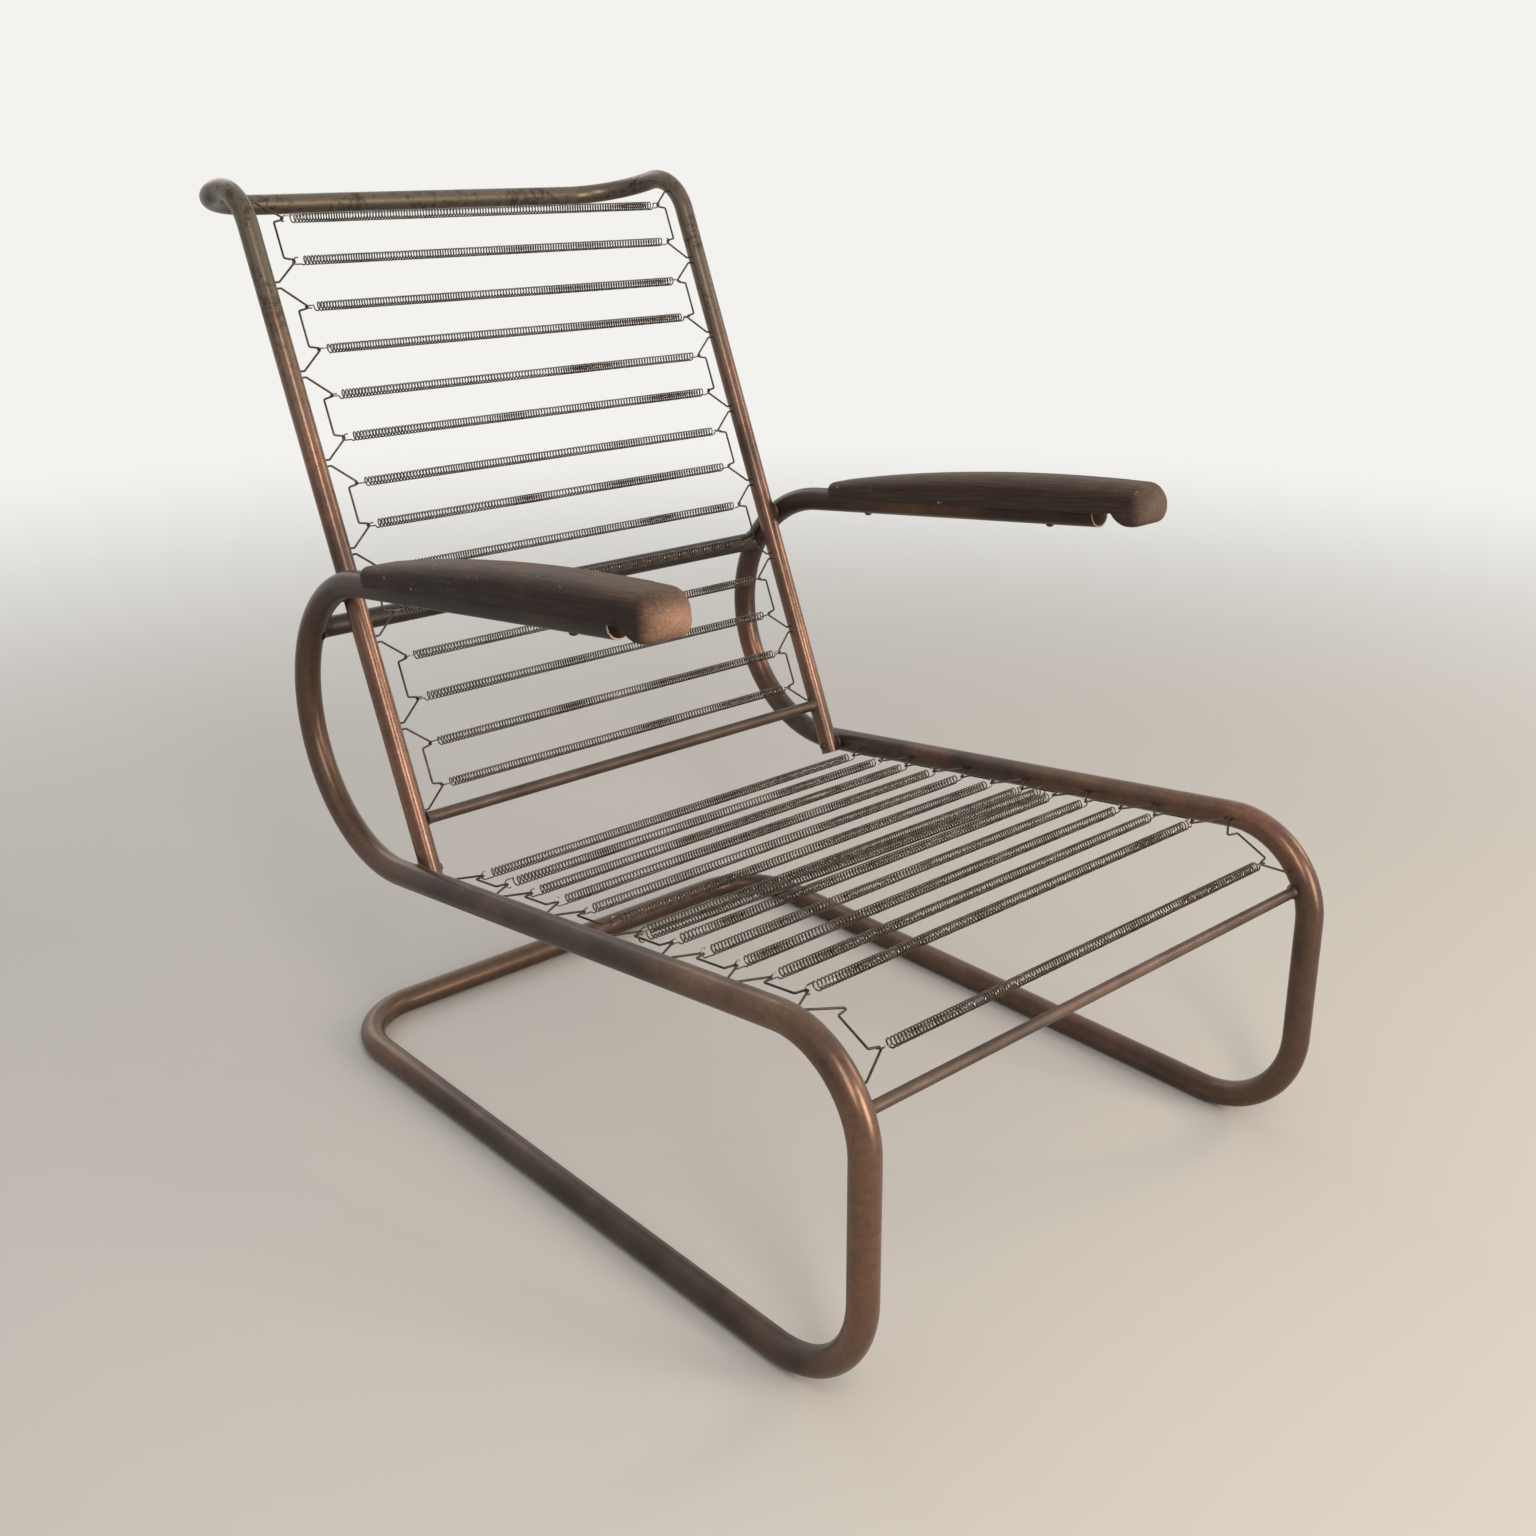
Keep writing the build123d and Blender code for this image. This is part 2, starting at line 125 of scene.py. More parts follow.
# %% Corners of the main frame
ARM_END, ARM_SLOPE = (271.5, 555.0), 7.0
KNEE, SEAT_SLOPE, KNEE_BEND = (6.0, 315.0), 7.55, 81.0
LOOP_CENTRE_Y = 642.0
arm_dir, arm_up = falling(ARM_SLOPE)
seat_dir, seat_up = falling(SEAT_SLOPE)
arm_end = side_point(*ARM_END)
knee = side_point(*KNEE)
foot = side_point(0.0, MAIN_R)
runner_end = side_point(RUNNER_LENGTH, MAIN_R)
loop_y = side_point(LOOP_CENTRE_Y, 0.0).y
arm_over = arm_end + arm_dir * ((loop_y - arm_end.y) / arm_dir.y)
seat_under = knee + seat_dir * ((loop_y - knee.y) / seat_dir.y)
loop_centre = seat_under.lerp(arm_over, arm_dir.y / (arm_dir.y + seat_dir.y))
LOOP_R = (arm_over - loop_centre).length * arm_dir.y
rear_dir = (arm_dir + seat_dir).normalized()
rearmost = loop_centre + rear_dir * LOOP_R
loop_top = arm_end + arm_dir * ((rearmost - arm_end).dot(rear_dir) / arm_dir.dot(rear_dir))
loop_low = knee + seat_dir * ((rearmost - knee).dot(rear_dir) / seat_dir.dot(rear_dir))

leg_dir = (foot - knee).normalized()
knee_half = leg_dir.angle(seat_dir) / 2
knee_centre = knee + (leg_dir + seat_dir).normalized() * (KNEE_BEND / math.sin(knee_half))
rail_front = knee + seat_dir * (KNEE_BEND / math.tan(knee_half))
print("loop radius", round(LOOP_R, 1), "mm")

# %% [markdown]
# The back leans. Its line crosses the seat rail once and the loop once, and it is brazed at both
# places. At the top it rolls over to the rear, to a rail between the two sides.

# %% Corners of the back
BRAZE_GAP = 0.2
UPRIGHT_X = SIDE_X - MAIN_R - BACK_R - BRAZE_GAP
UPRIGHT_CROSS_Y, UPRIGHT_LEAN, UPRIGHT_LENGTH = 608.5, math.radians(23.6), 668.0
ROLL_BEND, ROLL_TURN, CORNER_BEND = 52.0, math.radians(81.0), 69.0
up_dir = Vector((0, math.sin(UPRIGHT_LEAN), math.cos(UPRIGHT_LEAN)))
back_out = Vector((0, -math.cos(UPRIGHT_LEAN), math.sin(UPRIGHT_LEAN)))
seat_cross = knee + seat_dir * ((side_point(UPRIGHT_CROSS_Y, 0.0).y - knee.y) / seat_dir.y)
to_loop = seat_cross - loop_centre
half_chord = math.sqrt(to_loop.dot(up_dir) ** 2 - to_loop.length_squared + LOOP_R**2)
arm_cross = seat_cross + up_dir * (half_chord - to_loop.dot(up_dir))
roll_run = ROLL_BEND * math.tan(ROLL_TURN / 2)
upright_top = seat_cross + up_dir * UPRIGHT_LENGTH
roll_dir = up_dir * math.cos(ROLL_TURN) - back_out * math.sin(ROLL_TURN)
rail_corner = upright_top + roll_dir * (roll_run + CORNER_BEND)
print("top rail", round(rail_corner.z), "mm high")

# %% [markdown]
# Springs and clips are set out along the seat rail and along the upright, and the last ones of each
# row stand on a bend. So two functions give the point and the outward direction at a distance from
# where the upright crosses the seat rail, along the straight run and on round the bend.

# %% Distances along the seat and the back
def round_bend(along, straight, start, ahead, up, radius):
    """Point and normal at a distance along a straight run that goes on round a bend."""
    past = along - straight
    if past <= 0:
        return start + ahead * along, up
    turn = past / radius
    normal = up * math.cos(turn) + ahead * math.sin(turn)
    return start + ahead * straight - up * radius + normal * radius, normal


def seat_line(along):
    """The seat rail forwards from the upright, going on round the knee."""
    return round_bend(along, (rail_front - seat_cross).length, seat_cross, -seat_dir, seat_up, KNEE_BEND)


def back_line(along):
    """The upright upwards from the seat rail, going on round the roll at its top."""
    return round_bend(along, UPRIGHT_LENGTH - roll_run, seat_cross, up_dir, back_out, ROLL_BEND)


print("straight seat rail", round((rail_front - seat_cross).length), "mm")

# %% [markdown]
# The camera stands where the photograph was taken from, a little above the armrests and to the front
# right of the sitter. Its place, angles and focal length come from fitting the chair's corners to the
# photograph, which is surer than setting them by eye. The floor is one flat face that takes the shadow.

# %% Camera and floor
IMAGE_SIZE, FOCAL_PIXELS, SENSOR = 1536, 1693.2, 36.0
CAMERA_AT = side_point(-692.5, 902.3, -1009.9)
HEADING, PITCH, ROLL = math.radians(42.175), math.radians(20.965), math.radians(-0.375)
FLOOR_HALF = 4.0

scene = bpy.context.scene
scene.view_settings.view_transform = "Standard"
camera = bpy.data.objects.new("camera", bpy.data.cameras.new("camera"))
scene.collection.objects.link(camera)
camera.data.sensor_width = SENSOR
camera.data.lens = SENSOR * FOCAL_PIXELS / IMAGE_SIZE
camera.data.clip_start = 0.05
level = math.cos(PITCH)
ahead = Vector((math.sin(HEADING) * level, math.cos(HEADING) * level, -math.sin(PITCH)))
tilt = Matrix.Rotation(-ROLL, 3, "Z").to_quaternion()
camera.rotation_mode = "QUATERNION"
camera.rotation_quaternion = ahead.to_track_quat("-Z", "Y") @ tilt
camera.location = CAMERA_AT * MM
scene.camera = camera

floor_mesh = bpy.data.meshes.new("floor")
corners = [(x * FLOOR_HALF, y * FLOOR_HALF, 0) for x, y in ((-1, -1), (1, -1), (1, 1), (-1, 1))]
floor_mesh.from_pydata(corners, [], [(0, 1, 2, 3)])
floor = bpy.data.objects.new("floor", floor_mesh)
scene.collection.objects.link(floor)
print("lens", round(camera.data.lens, 1), "mm")

# %% [markdown]
# A tube shows its roundness by the long highlight of a lamp, and a tall narrow lamp gives a narrower
# one than a square lamp of the same power. So two lamps shaped like tall windows stand in front of the
# chair. Weaker lamps fill the sides and the rear.

# %% Lamps
def lamp(name, at, towards, width, height, power, colour):
    """A soft lamp as large as a window."""
    data = bpy.data.lights.new(name, "AREA")
    data.shape = "RECTANGLE"
    data.size = width
    data.size_y = height
    data.energy = power
    data.color = linear(colour)[:3]
    made = bpy.data.objects.new(name, data)
    made.location = at
    made.rotation_mode = "QUATERNION"
    made.rotation_quaternion = (Vector(towards) - Vector(at)).to_track_quat("-Z", "Y")
    scene.collection.objects.link(made)


lamp("tall_window", (-0.9, -1.75, 1.7), (0, 0.1, 0.5), 0.4, 1.4, 20.0, "#fff3e6")
lamp("front_window", (0.7, -2.7, 1.0), (-0.1, 0, 0.4), 0.7, 1.4, 42.0, "#fff0de")
lamp("side_window", (2.3, -1.3, 1.5), (0, 0, 0.4), 0.8, 0.8, 16.0, "#ffe4c4")
lamp("fill", (-2.4, -0.6, 2.2), (0, 0, 0.4), 2.0, 2.0, 6.0, "#f6f7fb")
lamp("rear", (0.3, 2.8, 2.2), (0, 0, 0.5), 1.8, 1.8, 16.0, "#ffffff")
print("lamps", len(bpy.data.lights))

# %% [markdown]
# The backdrop is the world. What the camera sees, directly or in a reflection, is a pale wall that is
# lighter on the far side of the chair, and the light that falls on the chair is an even, weaker grey.
# A real wall would do the same, but it would stand in the way of the other views.

# %% Backdrop
FAR_SIDE = (0.8, 0.55, 0.1)
world = bpy.data.worlds.new("studio")
scene.world = world
world.use_nodes = True
sky = world.node_tree
sky.nodes.clear()
rays = add(sky, "ShaderNodeLightPath").outputs
bounced = add(sky, "ShaderNodeMath",
              {0: rays["Is Glossy Ray"], 1: rays["Is Transmission Ray"]}, operation="MAXIMUM")
seen = add(sky, "ShaderNodeMath", {0: rays["Is Camera Ray"], 1: bounced.outputs[0]}, operation="MAXIMUM")
towards = add(sky, "ShaderNodeTexCoord").outputs["Generated"]
far_side = add(sky, "ShaderNodeVectorMath", {0: towards, 1: FAR_SIDE}, operation="DOT_PRODUCT")
share = add(sky, "ShaderNodeMapRange",
            {"Value": far_side.outputs["Value"], "From Min": -0.7, "From Max": 0.35})
pale = add(sky, "ShaderNodeValToRGB", {"Fac": share.outputs[0]}, [(0.0, "#969492"), (1.0, "#f3f2ef")])
plain = add(sky, "ShaderNodeBackground", {"Color": linear("#eef0f2"), "Strength": 0.6})
backdrop = add(sky, "ShaderNodeBackground", {"Color": pale.outputs[0], "Strength": 1.0})
mixed = add(sky, "ShaderNodeMixShader", {0: seen.outputs[0], 1: plain.outputs[0], 2: backdrop.outputs[0]})
add(sky, "ShaderNodeOutputWorld", {"Surface": mixed.outputs[0]})
print("backdrop", world.name)

# %% [markdown]
# The tube is steel, drawn and bent, then plated with copper. Decades of handling have turned the
# plating dark brown, and where hands and legs rubbed it the copper shows through. So the colour is a
# mix of brown patina and copper in patches a few centimetres wide, with small dark specks, and the
# roughness changes with the same patches: rubbed copper is smoother than patina. Wear also follows the
# use of the chair, which Object coordinates can say: the front leg is rubbed, and the top of the chair
# has gone dull and mottled. Painted light is placed the same way: the copper on the near leg and loop is
# partly painted light, and the arm, the top of its loop and all undersides are darkened as painted shade.

# %% Copper plating with patina
CLOUD, RUB, SCUFF, SPECK = 60.0, 210.0, 7.0, 2.0
FADE = 160.0
SHIN_FROM, SHIN_TO = knee.y + 50.0, knee.y + 5.0
LOOP_FROM, LOOP_TO = loop_y - 80.0, loop_y + 10.0
# A dark tone for small pits, also used as painted shade on undersides.
GRIME_AND_SHADE = "#241c18"


def new_material(name):
    """A material with its tree and its one Principled shader."""
    material = bpy.data.materials.new(name)
    material.use_nodes = True
    tree = material.node_tree
    tree.nodes.clear()
    shader = add(tree, "ShaderNodeBsdfPrincipled")
    add(tree, "ShaderNodeOutputMaterial", {"Surface": shader.outputs[0]})
    return material, tree, shader


def per_metre(size_mm):
    """Texture scale for a pattern whose features are this large."""
    return 1.0 / (size_mm * MM)


# The default dull tones are nearly black: on the frame tubes they make the arm and the top of its loop dull
# patina with painted shade under the armrest.
def patinated_copper(name, tones, rubbed, roughness, rubbed_from=-1000.0, dull=("#241f1b", "#322b26"),
                     dull_from=5000.0, front=0.0, rear=0.0):
    """Brown patina with copper showing through. The share rubbed bare is full above rubbed_from and has
    a least value on the front legs and on the rear loop, where that copper is partly painted light.
    Above dull_from the tube is dull and mottled; the default dull tones are nearly black and add painted
    shade there. Surfaces that face down are darkened as painted shade."""
    dark, brown, copper = tones
    material, tree, shader = new_material(name)
    place = add(tree, "ShaderNodeTexCoord").outputs["Object"]
    clouds = add(tree, "ShaderNodeTexNoise", {"Vector": place, "Scale": per_metre(CLOUD), "Detail": 6.0,
                 "Roughness": 0.65}).outputs["Fac"]
    rubs = add(tree, "ShaderNodeTexNoise", {"Vector": place, "Scale": per_metre(RUB), "Detail": 6.0,
               "Roughness": 0.6}).outputs["Fac"]
    scuffs = add(tree, "ShaderNodeTexNoise", {"Vector": place, "Scale": per_metre(SCUFF), "Detail": 5.0,
                 "Roughness": 0.7}).outputs["Fac"]
    specks = add(tree, "ShaderNodeTexNoise", {"Vector": place, "Scale": per_metre(SPECK), "Detail": 2.0,
                 "Roughness": 0.6}).outputs["Fac"]
    patina = add(tree, "ShaderNodeValToRGB", {"Fac": clouds}, [(0.35, dark), (0.65, brown)])

    # Where copper shows: broad rubs, broken by fine scuffs, more of it where hands and legs pass. On the
    # shin and the loop that extra copper is partly painted light.
    edge = 0.66 - 0.36 * rubbed
    worn = add(tree, "ShaderNodeMapRange", {"Value": rubs, "From Min": edge, "From Max": edge + 0.2})
    broken = add(tree, "ShaderNodeMapRange",
                 {"Value": scuffs, "From Min": 0.3, "From Max": 0.65, "To Min": 0.5})
    where = add(tree, "ShaderNodeSeparateXYZ", {0: place}).outputs
    ragged = add(tree, "ShaderNodeMath",
                 {0: clouds, 1: 0.2, 2: where["Z"]}, operation="MULTIPLY_ADD").outputs[0]
    handled = add(tree, "ShaderNodeMapRange", {"Value": ragged, "From Min": rubbed_from * MM,
                  "From Max": (rubbed_from + FADE) * MM, "To Min": 0.25})
    rubbing = add(tree, "ShaderNodeMath", {0: worn.outputs[0], 1: handled.outputs[0]}, operation="MULTIPLY")
    # Painted light: extra copper on the shin and the loop brightens the near leg and the near loop.
    shin_rub_and_light = add(tree, "ShaderNodeMapRange", {"Value": where["Y"], "From Min": SHIN_FROM * MM,
                "From Max": SHIN_TO * MM, "To Max": front})
    loop_rub_and_highlight = add(tree, "ShaderNodeMapRange", {"Value": where["Y"], "From Min": LOOP_FROM * MM,
                "From Max": LOOP_TO * MM, "To Max": rear})
    ends = add(tree, "ShaderNodeMath", {0: shin_rub_and_light.outputs[0], 1: loop_rub_and_highlight.outputs[0]}, operation="MAXIMUM")
    either = add(tree, "ShaderNodeMath", {0: rubbing.outputs[0], 1: ends.outputs[0]}, operation="MAXIMUM")
    share = add(tree, "ShaderNodeMath", {0: either.outputs[0], 1: broken.outputs[0]}, operation="MULTIPLY")
    plated = add(tree, "ShaderNodeMix",
                 {0: share.outputs[0], 6: patina.outputs[0], 7: linear(copper)}, data_type="RGBA")

    # Dull and mottled near the top of the chair, with painted shade on the arm from the default tones;
    # grimy in small pits, and darkened as painted shade where the surface faces down.
    dull_and_shade_share = add(tree, "ShaderNodeMapRange", {"Value": ragged, "From Min": dull_from * MM,
                 "From Max": (dull_from + FADE) * MM, "To Max": 0.92})
    mottle = add(tree, "ShaderNodeMath", {0: clouds, 1: scuffs}, operation="ADD")
    dull_and_shade_colour = add(tree, "ShaderNodeValToRGB", {"Fac": mottle.outputs[0]}, [(0.85, dull[0]), (1.0, dull[1])])
    greyed = add(tree, "ShaderNodeMix",
                 {0: dull_and_shade_share.outputs[0], 6: plated.outputs[2], 7: dull_and_shade_colour.outputs[0]}, data_type="RGBA")
    facing = add(tree, "ShaderNodeSeparateXYZ", {0: add(tree, "ShaderNodeNewGeometry").outputs["Normal"]})
    # Painted shade: surfaces that face down are darkened towards the dark pit tone.
    painted_under_shade = add(tree, "ShaderNodeMapRange",
                {"Value": facing.outputs["Z"], "From Min": 0.1, "From Max": -0.7, "To Max": 0.45})
    pits = add(tree, "ShaderNodeMapRange",
               {"Value": specks, "From Min": 0.62, "From Max": 0.74, "To Max": 0.5})
    pits_and_shade = add(tree, "ShaderNodeMath", {0: painted_under_shade.outputs[0], 1: pits.outputs[0]}, operation="MAXIMUM")
    final = add(tree, "ShaderNodeMix",
                {0: pits_and_shade.outputs[0], 6: greyed.outputs[2], 7: linear(GRIME_AND_SHADE)}, data_type="RGBA")

    # Rubbed copper is smoother than patina, and the dull top is rougher.
    smoother = add(tree, "ShaderNodeMath",
                   {0: share.outputs[0], 1: dull_and_shade_share.outputs[0]}, operation="SUBTRACT")
    rough = add(tree, "ShaderNodeMapRange", {"Value": smoother.outputs[0], "From Min": -1.0,
                "To Min": roughness + 0.1, "To Max": roughness - 0.1})
    grit = add(tree, "ShaderNodeMath", {0: scuffs, 1: 0.07, 2: rough.outputs[0]}, operation="MULTIPLY_ADD")
    bump = add(tree, "ShaderNodeBump", {"Strength": 0.03, "Distance": 0.0004, "Height": scuffs})
    tree.links.new(final.outputs[2], shader.inputs["Base Color"])
    tree.links.new(grit.outputs[0], shader.inputs["Roughness"])
    tree.links.new(bump.outputs[0], shader.inputs["Normal"])
    shader.inputs["Metallic"].default_value = 0.65
    return material


print("patches of", CLOUD, "mm and rubs of", RUB, "mm")

# %% [markdown]
# The two halves of the frame and the back have aged differently, so each has its own three tones, from
# dark patina to copper. The rods and the brazing take the same finish with little wear. The cross tube
# was never plated: its tones are those of blackened steel.

# %% Plated finishes
right_tones = ("#3d322c", "#50423a", "#82624f")
left_tones = ("#41352f", "#57463d", "#936850")
back_tones = ("#4a3d36", "#634f45", "#956f5c")
rod_tones = ("#4b3f37", "#62524a", "#80685a")
steel_tones = ("#3a332f", "#4a423c", "#5f5046")
braze_tones = ("#4a392e", "#67503d", "#9a7046")
# Dark and satin. Copper on the shin and the loop is partly rubbed, partly painted light; the nearly
# black arm and loop top are dull patina with painted shade.
right_copper = patinated_copper("patinated_copper_on_right_tube", right_tones, rubbed=0.4, roughness=0.34,
                                dull_from=500.0, front=0.8, rear=0.5)
# Redder, with bare patches along the rail, and an arm darkened as painted shade.
left_copper = patinated_copper("rubbed_copper_on_left_tube", left_tones, rubbed=0.75, roughness=0.32,
                               rubbed_from=270.0, dull_from=540.0)
# Bright uprights under a dull, mottled top rail.
back_copper = patinated_copper("rubbed_copper_on_back_tube", back_tones, rubbed=0.9, roughness=0.28,
                               dull=("#403a32", "#6a6053"), dull_from=690.0)
# An even brown with a soft highlight.
rod_copper = patinated_copper("patinated_copper_on_rods", rod_tones, rubbed=0.5, roughness=0.42)
# Greyer and darker than the plating.
dark_steel = patinated_copper("blackened_steel_on_cross_tube", steel_tones, rubbed=0.35, roughness=0.42)
# Smoother and yellower than the tube beside it.
braze = patinated_copper("patinated_braze", braze_tones, rubbed=0.5, roughness=0.38)
for finish in (right_copper, left_copper, back_copper, rod_copper, dark_steel, braze):
    print(finish.name, len(finish.node_tree.nodes), "nodes")

# %% [markdown]
# The springs and clips are drawn steel wire without plating, gone grey-brown with age. Wire this thin
# shows no pattern, only a bright line along each turn, so the material is a plain aged metal with a
# slow change from bare to brown along each spring, and a rougher, darker one for the clips. Screw
# heads, the cut ends of the tubes and their bores take it with other tones.

# %% Drawn steel
AGE, RUST = 35.0, 3.0
RUST_SPOT = "#4a372b"


def drawn_steel(name, bare, brown, roughness, metallic=1.0):
    """Steel that goes from bare to brown in slow changes, with small spots of rust."""
    material, tree, shader = new_material(name)
    place = add(tree, "ShaderNodeTexCoord").outputs["Object"]
    age = add(tree, "ShaderNodeTexNoise",
              {"Vector": place, "Scale": per_metre(AGE), "Detail": 5.0, "Roughness": 0.65}).outputs["Fac"]
    rust = add(tree, "ShaderNodeTexNoise",
               {"Vector": place, "Scale": per_metre(RUST), "Detail": 3.0}).outputs["Fac"]
    colour = add(tree, "ShaderNodeValToRGB", {"Fac": age}, [(0.35, bare), (0.65, brown)])
    spots = add(tree, "ShaderNodeMapRange",
                {"Value": rust, "From Min": 0.55, "From Max": 0.72, "To Max": 0.6})
    mixed = add(tree, "ShaderNodeMix",
                {0: spots.outputs[0], 6: colour.outputs[0], 7: linear(RUST_SPOT)}, data_type="RGBA")
    rough = add(tree, "ShaderNodeMapRange",
                {"Value": age, "To Min": roughness - 0.08, "To Max": roughness + 0.12})
    tree.links.new(mixed.outputs[2], shader.inputs["Base Color"])
    tree.links.new(rough.outputs[0], shader.inputs["Roughness"])
    shader.inputs["Metallic"].default_value = metallic
    return material


# Smooth wire: one bright line on each turn.
spring_steel = drawn_steel("aged_spring_steel", "#7b736a", "#584f46", 0.28)
# Darker and duller wire.
clip_steel = drawn_steel("dull_steel_clip_wire", "#5d544c", "#3d352f", 0.42)
# Dull grey-brown heads.
fastener_steel = drawn_steel("dull_steel_fastener", "#6a625a", "#4b423a", 0.42)
# A pale ring where the saw cut the tube.
rim_steel = drawn_steel("bare_steel_tube_rim", "#a39a8f", "#7c7267", 0.45)
# Matt tan rust, made paler as painted light inside the bore: it scatters light and mirrors nothing,
# so it isn't metallic.
bore_rust_and_light = drawn_steel("rust_and_painted_light_tube_bore", "#c4ae9a", "#a08874", 0.85, metallic=0.0)
for finish in (spring_steel, clip_steel, fastener_steel, rim_steel, bore_rust_and_light):
    print(finish.name, len(finish.node_tree.nodes), "nodes")

# %% [markdown]
# The armrests are hardwood, turned dark by stain and handling. The grain runs along the arm. The top
# is worn to a lighter brown, and the front of the right nose, where a hand holds it, to a reddish tan.
# The left nose is only a little paler than the rest, so each armrest has its own tones. Pores are finer
# than a pixel, so the grain is drawn 1.6 mm wide, which is as coarse as it needs to show.

# %% Stained hardwood
REST_NOSE = 70.0
GRAIN_WIDTH, GRAIN_LENGTH = 1.6, 60.0
BLOTCH, NICK, SCRATCH, DENT = 45.0, 5.0, 30.0, 22.0
NOSE_Y = (arm_end - arm_dir * REST_NOSE).y
NOSE_FROM, NOSE_TO = NOSE_Y + 45.0, NOSE_Y + 10.0
WORN_TONES = ("#46362b", "#5f4c3d", "#735e4c")
MARK = "#b89880"


